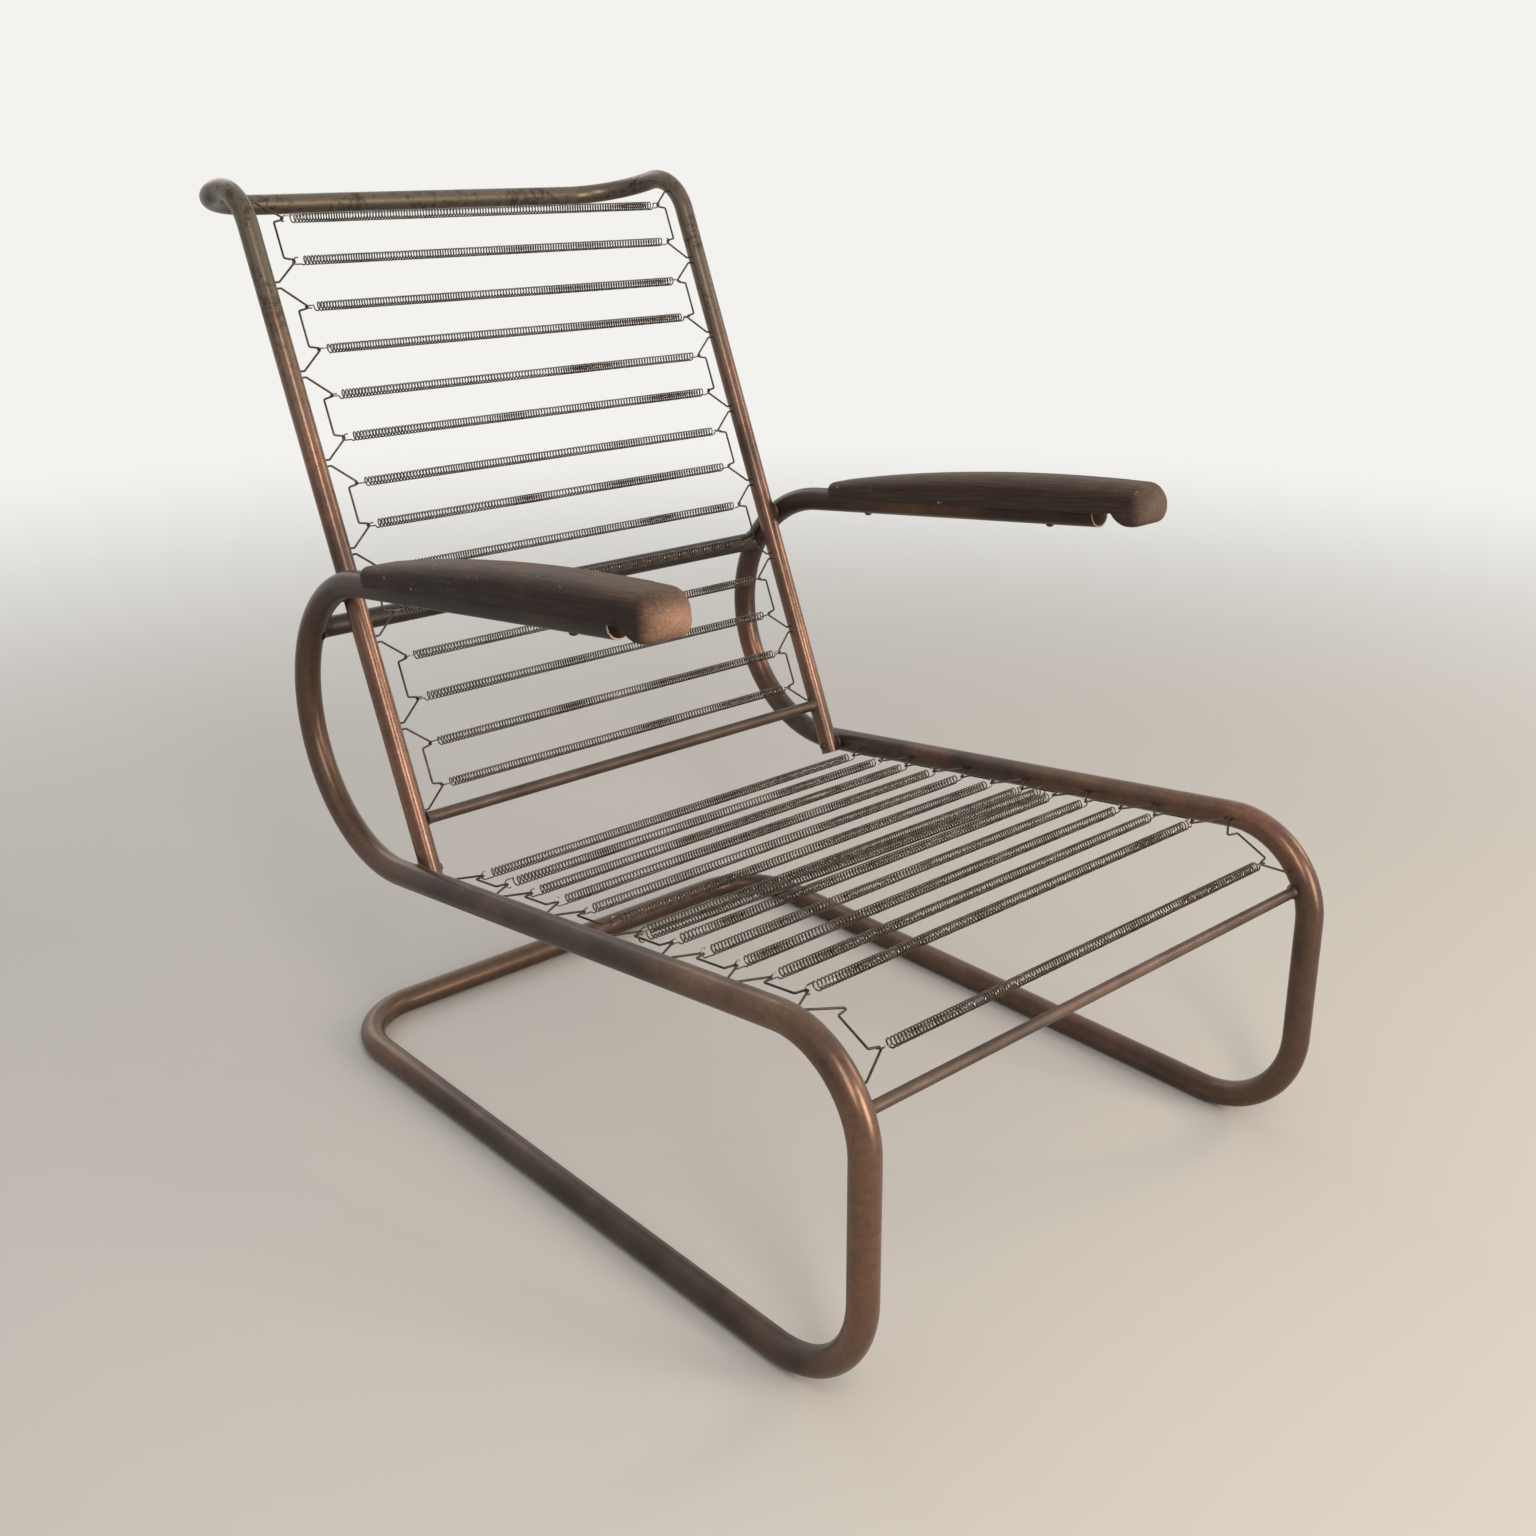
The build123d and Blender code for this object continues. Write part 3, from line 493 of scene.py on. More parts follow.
def stained_wood(name, stains, tans):
    """Dark stain with a worn top, a nose rubbed to the tan tones, and a few scratches and dents."""
    material, tree, shader = new_material(name)
    place = add(tree, "ShaderNodeTexCoord").outputs["Object"]
    level = add(tree, "ShaderNodeMapping", {"Vector": place, "Rotation": (math.radians(ARM_SLOPE), 0, 0)})
    grain_size = (per_metre(GRAIN_WIDTH), per_metre(GRAIN_LENGTH), per_metre(GRAIN_WIDTH))
    stretched = add(tree, "ShaderNodeVectorMath", {0: level.outputs[0], 1: grain_size}, operation="MULTIPLY")
    grain = add(tree, "ShaderNodeTexNoise", {"Vector": stretched.outputs[0], "Scale": 1.0, "Detail": 6.0,
                "Roughness": 0.65, "Distortion": 0.4}).outputs["Fac"]
    blotch = add(tree, "ShaderNodeTexNoise", {"Vector": place, "Scale": per_metre(BLOTCH), "Detail": 6.0,
                 "Roughness": 0.6}).outputs["Fac"]
    fine = add(tree, "ShaderNodeTexNoise", {"Vector": place, "Scale": per_metre(NICK), "Detail": 4.0,
               "Roughness": 0.6}).outputs["Fac"]
    stain = add(tree, "ShaderNodeValToRGB", {"Fac": grain}, zip((0.3, 0.5, 0.72), stains))
    worn = add(tree, "ShaderNodeValToRGB", {"Fac": grain}, zip((0.3, 0.55, 0.75), WORN_TONES))
    tan = add(tree, "ShaderNodeValToRGB", {"Fac": grain}, zip((0.3, 0.55, 0.75), tans))

    # Worn where the surface faces up, in patches.
    facing = add(tree, "ShaderNodeSeparateXYZ", {0: add(tree, "ShaderNodeNewGeometry").outputs["Normal"]})
    where = add(tree, "ShaderNodeSeparateXYZ", {0: place})
    upward = add(tree, "ShaderNodeMapRange",
                 {"Value": facing.outputs["Z"], "From Min": 0.2, "From Max": 0.95})
    patchy = add(tree, "ShaderNodeMapRange",
                 {"Value": blotch, "From Min": 0.3, "From Max": 0.6, "To Min": 0.5})
    top_wear = add(tree, "ShaderNodeMath",
                   {0: upward.outputs[0], 1: patchy.outputs[0]}, operation="MULTIPLY")

    # Tan where the nose faces forwards and a little down.
    forward = add(tree, "ShaderNodeMapRange",
                  {"Value": facing.outputs["Y"], "From Min": -0.05, "From Max": -0.85})
    near_nose = add(tree, "ShaderNodeMapRange",
                    {"Value": where.outputs["Y"], "From Min": NOSE_FROM * MM, "From Max": NOSE_TO * MM})
    lower = add(tree, "ShaderNodeMapRange",
                {"Value": facing.outputs["Z"], "From Min": 0.85, "From Max": 0.05, "To Min": 0.1})
    ahead_low = add(tree, "ShaderNodeMath",
                    {0: forward.outputs[0], 1: lower.outputs[0]}, operation="MULTIPLY")
    nose = add(tree, "ShaderNodeMath",
               {0: ahead_low.outputs[0], 1: near_nose.outputs[0]}, operation="MULTIPLY")
    nose_break = add(tree, "ShaderNodeMapRange",
                     {"Value": blotch, "From Min": 0.3, "From Max": 0.6, "To Min": 0.5})
    nose_wear = add(tree, "ShaderNodeMath",
                    {0: nose.outputs[0], 1: nose_break.outputs[0]}, operation="MULTIPLY")
    topped = add(tree, "ShaderNodeMix",
                 {0: top_wear.outputs[0], 6: stain.outputs[0], 7: worn.outputs[0]}, data_type="RGBA")
    nosed = add(tree, "ShaderNodeMix",
                {0: nose_wear.outputs[0], 6: topped.outputs[2], 7: tan.outputs[0]}, data_type="RGBA")

    # Short hairline scratches, and a dent in one cell of ten.
    lines = add(tree, "ShaderNodeTexNoise", {"Vector": place, "Scale": per_metre(SCRATCH), "Detail": 1.0,
                "Distortion": 1.5}).outputs["Fac"]
    hairline = add(tree, "ShaderNodeMath", {0: lines, 1: 0.5, 2: 0.004}, operation="COMPARE")
    short = add(tree, "ShaderNodeMapRange",
                {"Value": fine, "From Min": 0.59, "From Max": 0.65, "To Max": 0.75})
    scratch = add(tree, "ShaderNodeMath",
                  {0: hairline.outputs[0], 1: short.outputs[0]}, operation="MULTIPLY")
    dents = add(tree, "ShaderNodeTexVoronoi", {"Vector": place, "Scale": per_metre(DENT)})
    dent = add(tree, "ShaderNodeMapRange",
               {"Value": dents.outputs["Distance"], "From Min": 0.09, "From Max": 0.05, "To Max": 0.45})
    chosen = add(tree, "ShaderNodeSeparateColor", {0: dents.outputs["Color"]})
    few = add(tree, "ShaderNodeMath", {0: chosen.outputs[0], 1: 0.9}, operation="GREATER_THAN")
    chip = add(tree, "ShaderNodeMath", {0: dent.outputs[0], 1: few.outputs[0]}, operation="MULTIPLY")
    marks = add(tree, "ShaderNodeMath", {0: scratch.outputs[0], 1: chip.outputs[0]}, operation="MAXIMUM")
    marked = add(tree, "ShaderNodeMix",
                 {0: marks.outputs[0], 6: nosed.outputs[2], 7: linear(MARK)}, data_type="RGBA")
    rough = add(tree, "ShaderNodeMapRange", {"Value": blotch, "To Min": 0.45, "To Max": 0.7})
    bump = add(tree, "ShaderNodeBump", {"Strength": 0.2, "Distance": 0.0005, "Height": grain})
    tree.links.new(marked.outputs[2], shader.inputs["Base Color"])
    tree.links.new(rough.outputs[0], shader.inputs["Roughness"])
    tree.links.new(bump.outputs[0], shader.inputs["Normal"])
    shader.inputs["Specular IOR Level"].default_value = 0.22
    return material


# Nearly black sides and a reddish tan nose.
right_wood = stained_wood("stained_hardwood_right_armrest", ("#1c1411", "#2a1e19", "#3a2b25"),
                          ("#8f6650", "#b0886e", "#c6a086"))
# A softer brown all over, with a nose that is only a little paler.
left_wood = stained_wood("stained_hardwood_left_armrest", ("#271d19", "#382a24", "#493a32"),
                         ("#4f3f36", "#66544a", "#78665a"))
print(right_wood.name, left_wood.name)

# %% [markdown]
# The floor is pale and matt. It fades into the backdrop with the distance from the chair, so no edge
# shows in any view. A floor that went on to a horizon would draw a line behind the chair.

# %% Pale floor
FADE_NEAR, FADE_FAR = 0.9, 3.6
floor_material, floor_tree, floor_shader = new_material("plain_pale_floor")
floor_shader.inputs["Base Color"].default_value = linear("#c6c2bc")
floor_shader.inputs["Roughness"].default_value = 0.75
ground = add(floor_tree, "ShaderNodeTexCoord").outputs["Object"]
distance = add(floor_tree, "ShaderNodeVectorMath", {0: ground}, operation="LENGTH").outputs["Value"]
fade = add(floor_tree, "ShaderNodeMapRange",
           {"Value": distance, "From Min": FADE_NEAR, "From Max": FADE_FAR}, interpolation_type="SMOOTHSTEP")
clear = add(floor_tree, "ShaderNodeBsdfTransparent")
ending = add(floor_tree, "ShaderNodeMixShader",
             {0: fade.outputs[0], 1: floor_shader.outputs[0], 2: clear.outputs[0]})
floor_tree.links.new(ending.outputs[0], floor_tree.nodes["Material Output"].inputs["Surface"])
floor_mesh.materials.append(floor_material)
print("floor fades from", FADE_NEAR, "to", FADE_FAR, "m")

# %% [markdown]
# Tubes, rods, springs and clips are all the same idea: a round section that follows a path. One
# Geometry Nodes tree does it. It rounds the corners of the path, sweeps a circle along it, scales the
# circle by the path's own radius, and sets the material. The result is kept as a plain mesh.

# %% A tree that sweeps a round bar
BAR_INPUTS = {"Diameter": "NodeSocketFloat", "Sides": "NodeSocketInt", "Corner radius": "NodeSocketFloat",
              "Corner points": "NodeSocketInt", "Closed ends": "NodeSocketBool",
              "Material": "NodeSocketMaterial"}


def new_tree(name, inputs):
    """An empty Geometry Nodes tree with named inputs, and the identifier of each."""
    tree = bpy.data.node_groups.new(name, "GeometryNodeTree")
    tree.interface.new_socket("Geometry", in_out="INPUT", socket_type="NodeSocketGeometry")
    sockets = {n: tree.interface.new_socket(n, in_out="INPUT", socket_type=t) for n, t in inputs.items()}
    tree.interface.new_socket("Geometry", in_out="OUTPUT", socket_type="NodeSocketGeometry")
    return tree, {n: socket.identifier for n, socket in sockets.items()}


sweeper, sweeper_ids = new_tree("round_bar_along_path", BAR_INPUTS)
given = add(sweeper, "NodeGroupInput").outputs
rounded = add(sweeper, "GeometryNodeFilletCurve",
              {"Curve": given["Geometry"], "Count": given["Corner points"],
               "Radius": given["Corner radius"], "Limit Radius": True}, mode="POLY")
radius = add(sweeper, "ShaderNodeMath", {0: given["Diameter"], 1: 0.5}, operation="MULTIPLY")
circle = add(sweeper, "GeometryNodeCurvePrimitiveCircle",
             {"Resolution": given["Sides"], "Radius": radius.outputs[0]})
own_radius = add(sweeper, "GeometryNodeInputRadius")
swept = add(sweeper, "GeometryNodeCurveToMesh",
            {"Curve": rounded.outputs[0], "Profile Curve": circle.outputs["Curve"],
             "Scale": own_radius.outputs[0], "Fill Caps": given["Closed ends"]})
smooth = add(sweeper, "GeometryNodeSetShadeSmooth", {"Geometry": swept.outputs[0]})
whole = add(sweeper, "GeometryNodeRealizeInstances", {"Geometry": smooth.outputs[0]})
painted = add(sweeper, "GeometryNodeSetMaterial",
              {"Geometry": whole.outputs[0], "Material": given["Material"]})
add(sweeper, "NodeGroupOutput", {"Geometry": painted.outputs[0]})
print(sweeper.name, list(sweeper_ids))

# %% [markdown]
# A piece starts as an object that only holds a path and the tree. What the tree makes of it is copied
# to a plain mesh, and the holder is removed. Every piece then rides on the chair's one body.

# %% Pieces from paths
def plain_mesh(holder, name, sharp=40.0):
    """The evaluated result as a plain mesh object, in place of the object that holds the nodes."""
    bpy.context.view_layer.update()
    mesh = bpy.data.meshes.new_from_object(holder.evaluated_get(bpy.context.evaluated_depsgraph_get()))
    bpy.data.objects.remove(holder)
    mesh.name = name
    mesh.set_sharp_from_angle(angle=math.radians(sharp))
    piece = bpy.data.objects.new(name, mesh)
    scene.collection.objects.link(piece)
    return piece


def keep(piece, slot, *nodes):
    """Rides the piece on the chair's one body and hides the CAD pieces that it stands for."""
    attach(piece, "root")
    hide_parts(*nodes)
    return piece


def bar(name, paths, diameter, sides, material, corner=0.0, corner_points=4, closed=True, radii=None):
    """A round bar along each path; paths are in millimetres, radii are shares of the diameter."""
    curve = bpy.data.curves.new(name, "CURVE")
    curve.dimensions = "3D"
    for points in paths:
        spline = curve.splines.new("POLY")
        spline.points.add(len(points) - 1)
        for number, point in enumerate(points):
            spline.points[number].co = (*(point * MM), 1.0)
            spline.points[number].radius = radii[number] if radii else 1.0
    holder = bpy.data.objects.new(name + "_path", curve)
    scene.collection.objects.link(holder)
    modifier = holder.modifiers.new("sweep", "NODES")
    modifier.node_group = sweeper
    values = {"Diameter": diameter * MM, "Sides": sides, "Corner radius": corner * MM,
              "Corner points": corner_points, "Closed ends": closed, "Material": material}
    for key, value in values.items():
        modifier[sweeper_ids[key]] = value
    return plain_mesh(holder, name)


# %% [markdown]
# The main frame is hollow, and its arm end is left open, so the tube is swept as a skin and given its
# wall by a Solidify modifier. Bends are true arcs: the path has a point every few degrees.

# %% Bent tubes
BEND_STEP = math.radians(4.0)
NEXT_POINT = 0.01
WALL = 1.5


def bent_path(corners, radii):
    """Straight runs joined by tangent arcs."""
    points = [corners[0]]
    for before, corner, after, radius in zip(corners, corners[1:], corners[2:], radii):
        back = (before - corner).normalized()
        onward = (after - corner).normalized()
        half = back.angle(onward) / 2
        middle = (back + onward).normalized()
        centre = corner + middle * (radius / math.sin(half))
        entry = corner + back * (radius / math.tan(half)) - centre
        turn = math.pi - 2 * half
        axis = back.cross(entry)
        steps = max(2, round(turn / BEND_STEP))
        for step in range(steps + 1):
            point = centre + Matrix.Rotation(turn * step / steps, 3, axis) @ entry
            if (point - points[-1]).length > NEXT_POINT:
                points.append(point)
    points.append(corners[-1])
    return points


def hollow(piece, wall):
    """Gives a swept skin its wall, inwards, with a rusty bore lightened by painted light and a bare rim."""
    piece.data.materials.append(bore_rust_and_light)
    piece.data.materials.append(rim_steel)
    modifier = piece.modifiers.new("wall", "SOLIDIFY")
    modifier.material_offset = 1
    modifier.material_offset_rim = 2
    modifier.thickness = wall * MM
    modifier.offset = -1.0
    modifier.use_rim = True
    return plain_mesh(piece, piece.name)


print("steps in a quarter bend", round(math.pi / 2 / BEND_STEP))

# %% [markdown]
# Each half of the frame is one run of tube, from the open arm end to the middle of the rear floor run.
# The skin is a little thinner than the CAD tube, so that its round section stays inside the CAD box.

# %% Frame tubes
SKIN_EASE = 0.15
FRAME_SIDES = 40
FOOT_BEND, FLOOR_BEND = 93.0, 75.0
for name, side, copper in (("left", 1, left_copper), ("right", -1, right_copper)):
    corners = [at_x(p, side * SIDE_X) for p in (arm_end, loop_top, loop_low, knee, foot, runner_end)]
    corners.append(at_x(runner_end, 0))
    route = bent_path(corners, [LOOP_R, LOOP_R, KNEE_BEND, FOOT_BEND, FLOOR_BEND])
    tube = bar(f"frame_tube_{name}_skin", [route], MAIN_D - SKIN_EASE, FRAME_SIDES, copper, closed=False)
    tube = hollow(tube, WALL)
    keep(tube, "coppered_tube", f"frame_tube_{name}")
    print(tube.name, len(tube.data.vertices), "points")

# %% [markdown]
# The back is one thinner tube. Its uprights pass the seat rails and the loops on the inside, roll
# backwards at the top and meet in the top rail.

# %% Back tube
UPRIGHT_FOOT = 9.0
BACK_SIDES = 36
upright_low = seat_cross - up_dir * UPRIGHT_FOOT
corners = [at_x(p, -UPRIGHT_X) for p in (upright_low, upright_top, rail_corner)]
corners += [at_x(p, UPRIGHT_X) for p in (rail_corner, upright_top, upright_low)]
route = bent_path(corners, [ROLL_BEND, CORNER_BEND, CORNER_BEND, ROLL_BEND])
back = bar("back_tube_skin", [route], BACK_D - SKIN_EASE, BACK_SIDES, back_copper, closed=False)
back = hollow(back, WALL)
keep(back, "coppered_tube", "back_tube")
print(back.name, len(back.data.vertices), "points")

# %% [markdown]
# Three bars cross the chair: a dark tube between the rear loops, a rod above the seat and a rod under
# the front springs. Each is brazed on, which leaves a small smooth flare at its ends. The sweep takes
# the flare from the path's own radius.

# %% Cross bars
FLARE_LENGTH = 9.0
FLARE_STEPS = (0.0, 0.35, 0.6, 0.8, 0.92, 1.0)
ROD_SIDES = 28


def cross_bar(name, slot, node, middle, material, reach, diameter, flare):
    """A bar from side to side that widens into its brazing at both ends."""
    half = [0.0, reach * 0.5, reach - FLARE_LENGTH * 2]
    stations = half + [reach - FLARE_LENGTH * (1 - t) for t in FLARE_STEPS]
    wide = [1.0] * len(half) + [1.0 + flare * t**3 for t in FLARE_STEPS]
    xs = [-x for x in reversed(stations)] + stations[1:]
    radii = list(reversed(wide)) + wide[1:]
    made = bar(name, [[at_x(middle, x) for x in xs]], diameter, ROD_SIDES, material, radii=radii)
    print(name, round(2 * reach), "mm long")
    return keep(made, slot, node)


# Each bar reaches into the tube that it meets and ends short of that tube's centre line.
CROSS_TURN, CROSS_D = math.radians(25.3), 20.0
radial = (arm_cross - loop_centre).normalized()
behind = Vector((0, radial.z, -radial.y))
cross_at = loop_centre + (radial * math.cos(CROSS_TURN) + behind * math.sin(CROSS_TURN)) * LOOP_R
cross_bar("rear_cross_tube_bar", "dark_tube", "rear_cross_tube", cross_at, dark_steel,
          reach=SIDE_X - 7.0, diameter=CROSS_D, flare=0.25)
BACK_ROD_UP, BACK_ROD_D = 47.8, 12.0
cross_bar("lower_back_rod_bar", "coppered_rod", "lower_back_rod", back_line(BACK_ROD_UP)[0], rod_copper,
          reach=UPRIGHT_X - 8.5, diameter=BACK_ROD_D, flare=0.42)
FRONT_TURN, FRONT_INSET, FRONT_ROD_D = math.radians(73.0), 7.0, 10.0
front_out = seat_up * math.cos(FRONT_TURN) - seat_dir * math.sin(FRONT_TURN)
front_at = knee_centre + front_out * (KNEE_BEND - FRONT_INSET)
cross_bar("front_rod_bar", "coppered_rod", "front_rod", front_at, rod_copper,
          reach=SIDE_X - 9.5, diameter=FRONT_ROD_D, flare=0.5)

# %% [markdown]
# Brazing, rivets and screws repeat, so one more tree puts a flattened ball on each of a set of points
# and turns it to the direction stored with the point. As a bead it fills the wedge between two tubes,
# and as a head it stands half out of the tube.

# %% A tree that sets beads and heads on points
HEAD_INPUTS = {"Width": "NodeSocketFloat", "Height": "NodeSocketFloat", "Material": "NodeSocketMaterial"}
dotter, dotter_ids = new_tree("rounded_heads_on_points", HEAD_INPUTS)
given = add(dotter, "NodeGroupInput").outputs
ball = add(dotter, "GeometryNodeMeshUVSphere", {"Segments": 32, "Rings": 16, "Radius": 0.5})
outward = add(dotter, "GeometryNodeInputNamedAttribute", {"Name": "outward"}, data_type="FLOAT_VECTOR")
turned = add(dotter, "FunctionNodeAlignRotationToVector", {"Vector": outward.outputs["Attribute"]}, axis="Z")
size = add(dotter, "ShaderNodeCombineXYZ", {0: given["Width"], 1: given["Width"], 2: given["Height"]})
placed = add(dotter, "GeometryNodeInstanceOnPoints",
             {"Points": given["Geometry"], "Instance": ball.outputs["Mesh"],
              "Rotation": turned.outputs[0], "Scale": size.outputs[0]})
whole = add(dotter, "GeometryNodeRealizeInstances", {"Geometry": placed.outputs[0]})
smooth = add(dotter, "GeometryNodeSetShadeSmooth", {"Geometry": whole.outputs[0]})
painted = add(dotter, "GeometryNodeSetMaterial",
              {"Geometry": smooth.outputs[0], "Material": given["Material"]})
add(dotter, "NodeGroupOutput", {"Geometry": painted.outputs[0]})


def heads(name, places, material, width, height):
    """Flattened balls; places are pairs of point and outward direction."""
    mesh = bpy.data.meshes.new(name + "_points")
    mesh.from_pydata([point * MM for point, _ in places], [], [])
    directions = mesh.attributes.new("outward", "FLOAT_VECTOR", "POINT")
    for number, (_, direction) in enumerate(places):
        directions.data[number].vector = direction
    holder = bpy.data.objects.new(name + "_points", mesh)
    scene.collection.objects.link(holder)
    modifier = holder.modifiers.new("heads", "NODES")
    modifier.node_group = dotter
    for key, value in {"Width": width * MM, "Height": height * MM, "Material": material}.items():
        modifier[dotter_ids[key]] = value
    print(name, len(places), "places")
    return plain_mesh(holder, name, sharp=80.0)


print(dotter.name, list(dotter_ids))

# %% [markdown]
# The back is brazed to each side at the seat rail and at the loop, and a rivet goes through the foot
# of each upright. Two screws hold each armrest from below. The sleeve inside the rear floor run is
# never seen, so its CAD shape stays and only takes a finish.

# %% Brazing, rivets and screws
SIDES = (1, -1)
WEDGE_X = SIDE_X - MAIN_R - BRAZE_GAP / 2
BEAD = {"width": 19.0, "height": 7.5}
RIVET_HEAD = {"width": 8.0, "height": 4.4}
SCREW_HEAD = {"width": 8.0, "height": 5.0}
SCREW_PLACES = (60.0, 310.0)
BEADS = (("seat_rail_bead", "seat_rail_brazing", seat_cross),
         ("arm_loop_bead", "arm_loop_brazing", arm_cross))
for name, node, point in BEADS:
    spots = [(at_x(point, s * WEDGE_X), Vector((s, 0, 0))) for s in SIDES]
    keep(heads(name, spots, braze, **BEAD), "brazing_metal", node)
spots = [(at_x(seat_cross, s * (UPRIGHT_X - BACK_R)), Vector((-s, 0, 0))) for s in SIDES]
keep(heads("upright_rivet_heads", spots, fastener_steel, **RIVET_HEAD), "fastener_steel", "upright_rivets")
tube_under = [arm_end + arm_dir * u - arm_up * MAIN_R for u in SCREW_PLACES]
spots = [(at_x(point, s * SIDE_X), -arm_up) for s in SIDES for point in tube_under]
keep(heads("armrest_screw_heads", spots, fastener_steel, **SCREW_HEAD), "fastener_steel", "armrest_screws")
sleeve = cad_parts["frame_sleeve"]
sleeve.data.materials.clear()
sleeve.data.materials.append(fastener_steel)

# %% [markdown]
# Each clip is one piece of 2 mm wire. It leaves a hole in the tube squarely, runs out to a sharp
# corner that holds a spring, steps back, runs along the tube to a second corner, and goes back in.

# %% Wire clips
CLIP_WIRE, CLIP_STUB, CLIP_END_GAP, CLIP_JOG, CLIP_JOG_STEP = 2.0, 5.0, 6.0, 10.0, 2.0
CLIP_TIP, CLIP_CORNER = 2.2, 1.7
CLIP_SIDES = 10
HOLE_DEPTH = 4.0
CLIPS_PER_SIDE = 7
BACK = dict(line=back_line, tube_x=UPRIGHT_X, tube_r=BACK_R,
            reach=36.5, pitch=85.6, first=95.5, spacing=41.0)
SEAT = dict(line=seat_line, tube_x=SIDE_X, tube_r=MAIN_R,
            reach=43.0, pitch=80.4, first=80.6, spacing=40.2)


def clip_path(side, number, row):
    """The bent wire of one clip, from hole to hole."""
    end = (row["pitch"] - CLIP_END_GAP) / 2
    face = row["tube_x"] - row["tube_r"]
    tip = row["tube_x"] - row["reach"]
    half = [
        (face + HOLE_DEPTH, end),
        (face - CLIP_STUB, end),
        (tip, (row["spacing"] + CLIP_TIP) / 2),
        (tip, (row["spacing"] - CLIP_TIP) / 2),
        (tip + CLIP_JOG, (row["spacing"] - CLIP_TIP) / 2 - CLIP_JOG_STEP),
    ]
    middle = row["first"] + row["pitch"] * number
    stations = [(x, middle - s) for x, s in half] + [(x, middle + s) for x, s in reversed(half)]
    return [at_x(row["line"](along)[0], side * x) for x, along in stations]


for part, row in (("back", BACK), ("seat", SEAT)):
    for name, side in (("left", 1), ("right", -1)):
        routes = [clip_path(side, number, row) for number in range(CLIPS_PER_SIDE)]
        clips = bar(f"{part}_clip_wires_{name}", routes, CLIP_WIRE, CLIP_SIDES, clip_steel,
                    corner=CLIP_CORNER)
        keep(clips, "clip_wire", f"{part}_clips_{name}")
        print(clips.name, len(clips.data.polygons), "faces")

# %% [markdown]
# A spring is one wire: an open hook, a run to the rim of the coil, about 130 turns, and a hook
# again. Real ones never match, so each is turned about its own axis by a different amount, its turns
# are slightly uneven, and its last few turns are pulled open by the load. The path is worked out point
# by point, and the tree that sweeps the tubes sweeps it too.

# %% The wire of a spring
SPRING_OD, SPRING_WIRE = 9.5, 1.4
COIL_R = (SPRING_OD - SPRING_WIRE) / 2
HOOK_R, HOOK_STRAIGHT, HOOK_CLEARANCE = 3.9, 7.0, 0.25
HOOK_TURN, HOOK_FLAT, HOOK_STEPS = math.pi * 1.1, 0.87, 8
TURN_PITCH, PITCH_SPREAD = 3.3, (0.96, 1.05)
STEPS_PER_TURN = 14
UNEVEN, WAVES, WAVE_RATES, WAVE_PHASES = 0.06, 3, (0.03, 0.25), (0, 6.3)
OPEN_TURNS, OPEN_PULL = 2.0, 0.35
HOOK_GRIP = HOOK_R * math.cos(math.pi / 6)
SET_BACK = HOOK_GRIP - (SPRING_WIRE + CLIP_WIRE) / 2 - HOOK_CLEARANCE
random.seed(7)


def hook_path(centre, up, inward):
    """An open hook, from its free end to the run that joins the coil."""
    arc = []
    for step in range(HOOK_STEPS + 1):
        angle = HOOK_TURN * (1 - step / HOOK_STEPS)
        out = inward * (HOOK_R * HOOK_FLAT * math.sin(angle))
        arc.append(centre + up * (HOOK_R * math.cos(angle)) - out)
    return arc


def spring_path(first, last, up, swing):
    """The wire of one spring between the two clip corners that it pulls on."""
    along = (last - first).normalized()
    up = Matrix.Rotation(swing, 3, along) @ up
    across = up.cross(along)
    ends = [first + along * SET_BACK, last - along * SET_BACK]
    start = ends[0] + along * HOOK_STRAIGHT
    length = (ends[1] - ends[0]).length - 2 * HOOK_STRAIGHT
    turns = round(length / (TURN_PITCH * random.uniform(*PITCH_SPREAD)))
    waves = [(random.uniform(*WAVE_RATES), random.uniform(*WAVE_PHASES)) for _ in range(WAVES)]
    weights = []
    for step in range(turns * STEPS_PER_TURN):
        turn = step / STEPS_PER_TURN
        nearest = min(turn, turns - turn)
        uneven = sum(UNEVEN * math.sin(turn * rate + phase) for rate, phase in waves)
        weights.append(1.0 + OPEN_PULL * math.exp(-nearest / OPEN_TURNS) + uneven)
    unit = length / sum(weights)
    coil = [start + up * COIL_R]
    gone = 0.0
    for step, weight in enumerate(weights, start=1):
        gone += weight * unit
        angle = 2 * math.pi * step / STEPS_PER_TURN
        coil.append(start + along * gone + (up * math.cos(angle) + across * math.sin(angle)) * COIL_R)
    return hook_path(ends[0], up, along) + coil + list(reversed(hook_path(ends[1], up, -along)))


print("hooks set back", round(SET_BACK, 2), "mm from the clip corners")

# %% [markdown]
# The springs lie two to a clip, each from its corner straight across to the corner opposite, and their
# hooks pull on the wire there. One place on the front clips is empty. Every spring is a piece of its own,
# because each hangs on its own and could be taken off.

# %% Springs in rows
WIRE_SIDES = 6
MOST_SWING = 0.7
EMPTY_SLOT = 13


def spring(name, first, last, up):
    """One spring with its hooks up or down, swung a little about its own axis."""
    swing = random.uniform(-MOST_SWING, MOST_SWING) + random.choice((0.0, math.pi))
    piece = bar(f"{name}_wire", [spring_path(first, last, up, swing)], SPRING_WIRE, WIRE_SIDES, spring_steel)
    return keep(piece, "spring_wire", name)


def row_stations(row):
    """Where the springs lie along a tube, two to a clip."""
    middles = [row["first"] + row["pitch"] * number for number in range(CLIPS_PER_SIDE)]
    return [middle + off for middle in middles for off in (-row["spacing"] / 2, row["spacing"] / 2)]


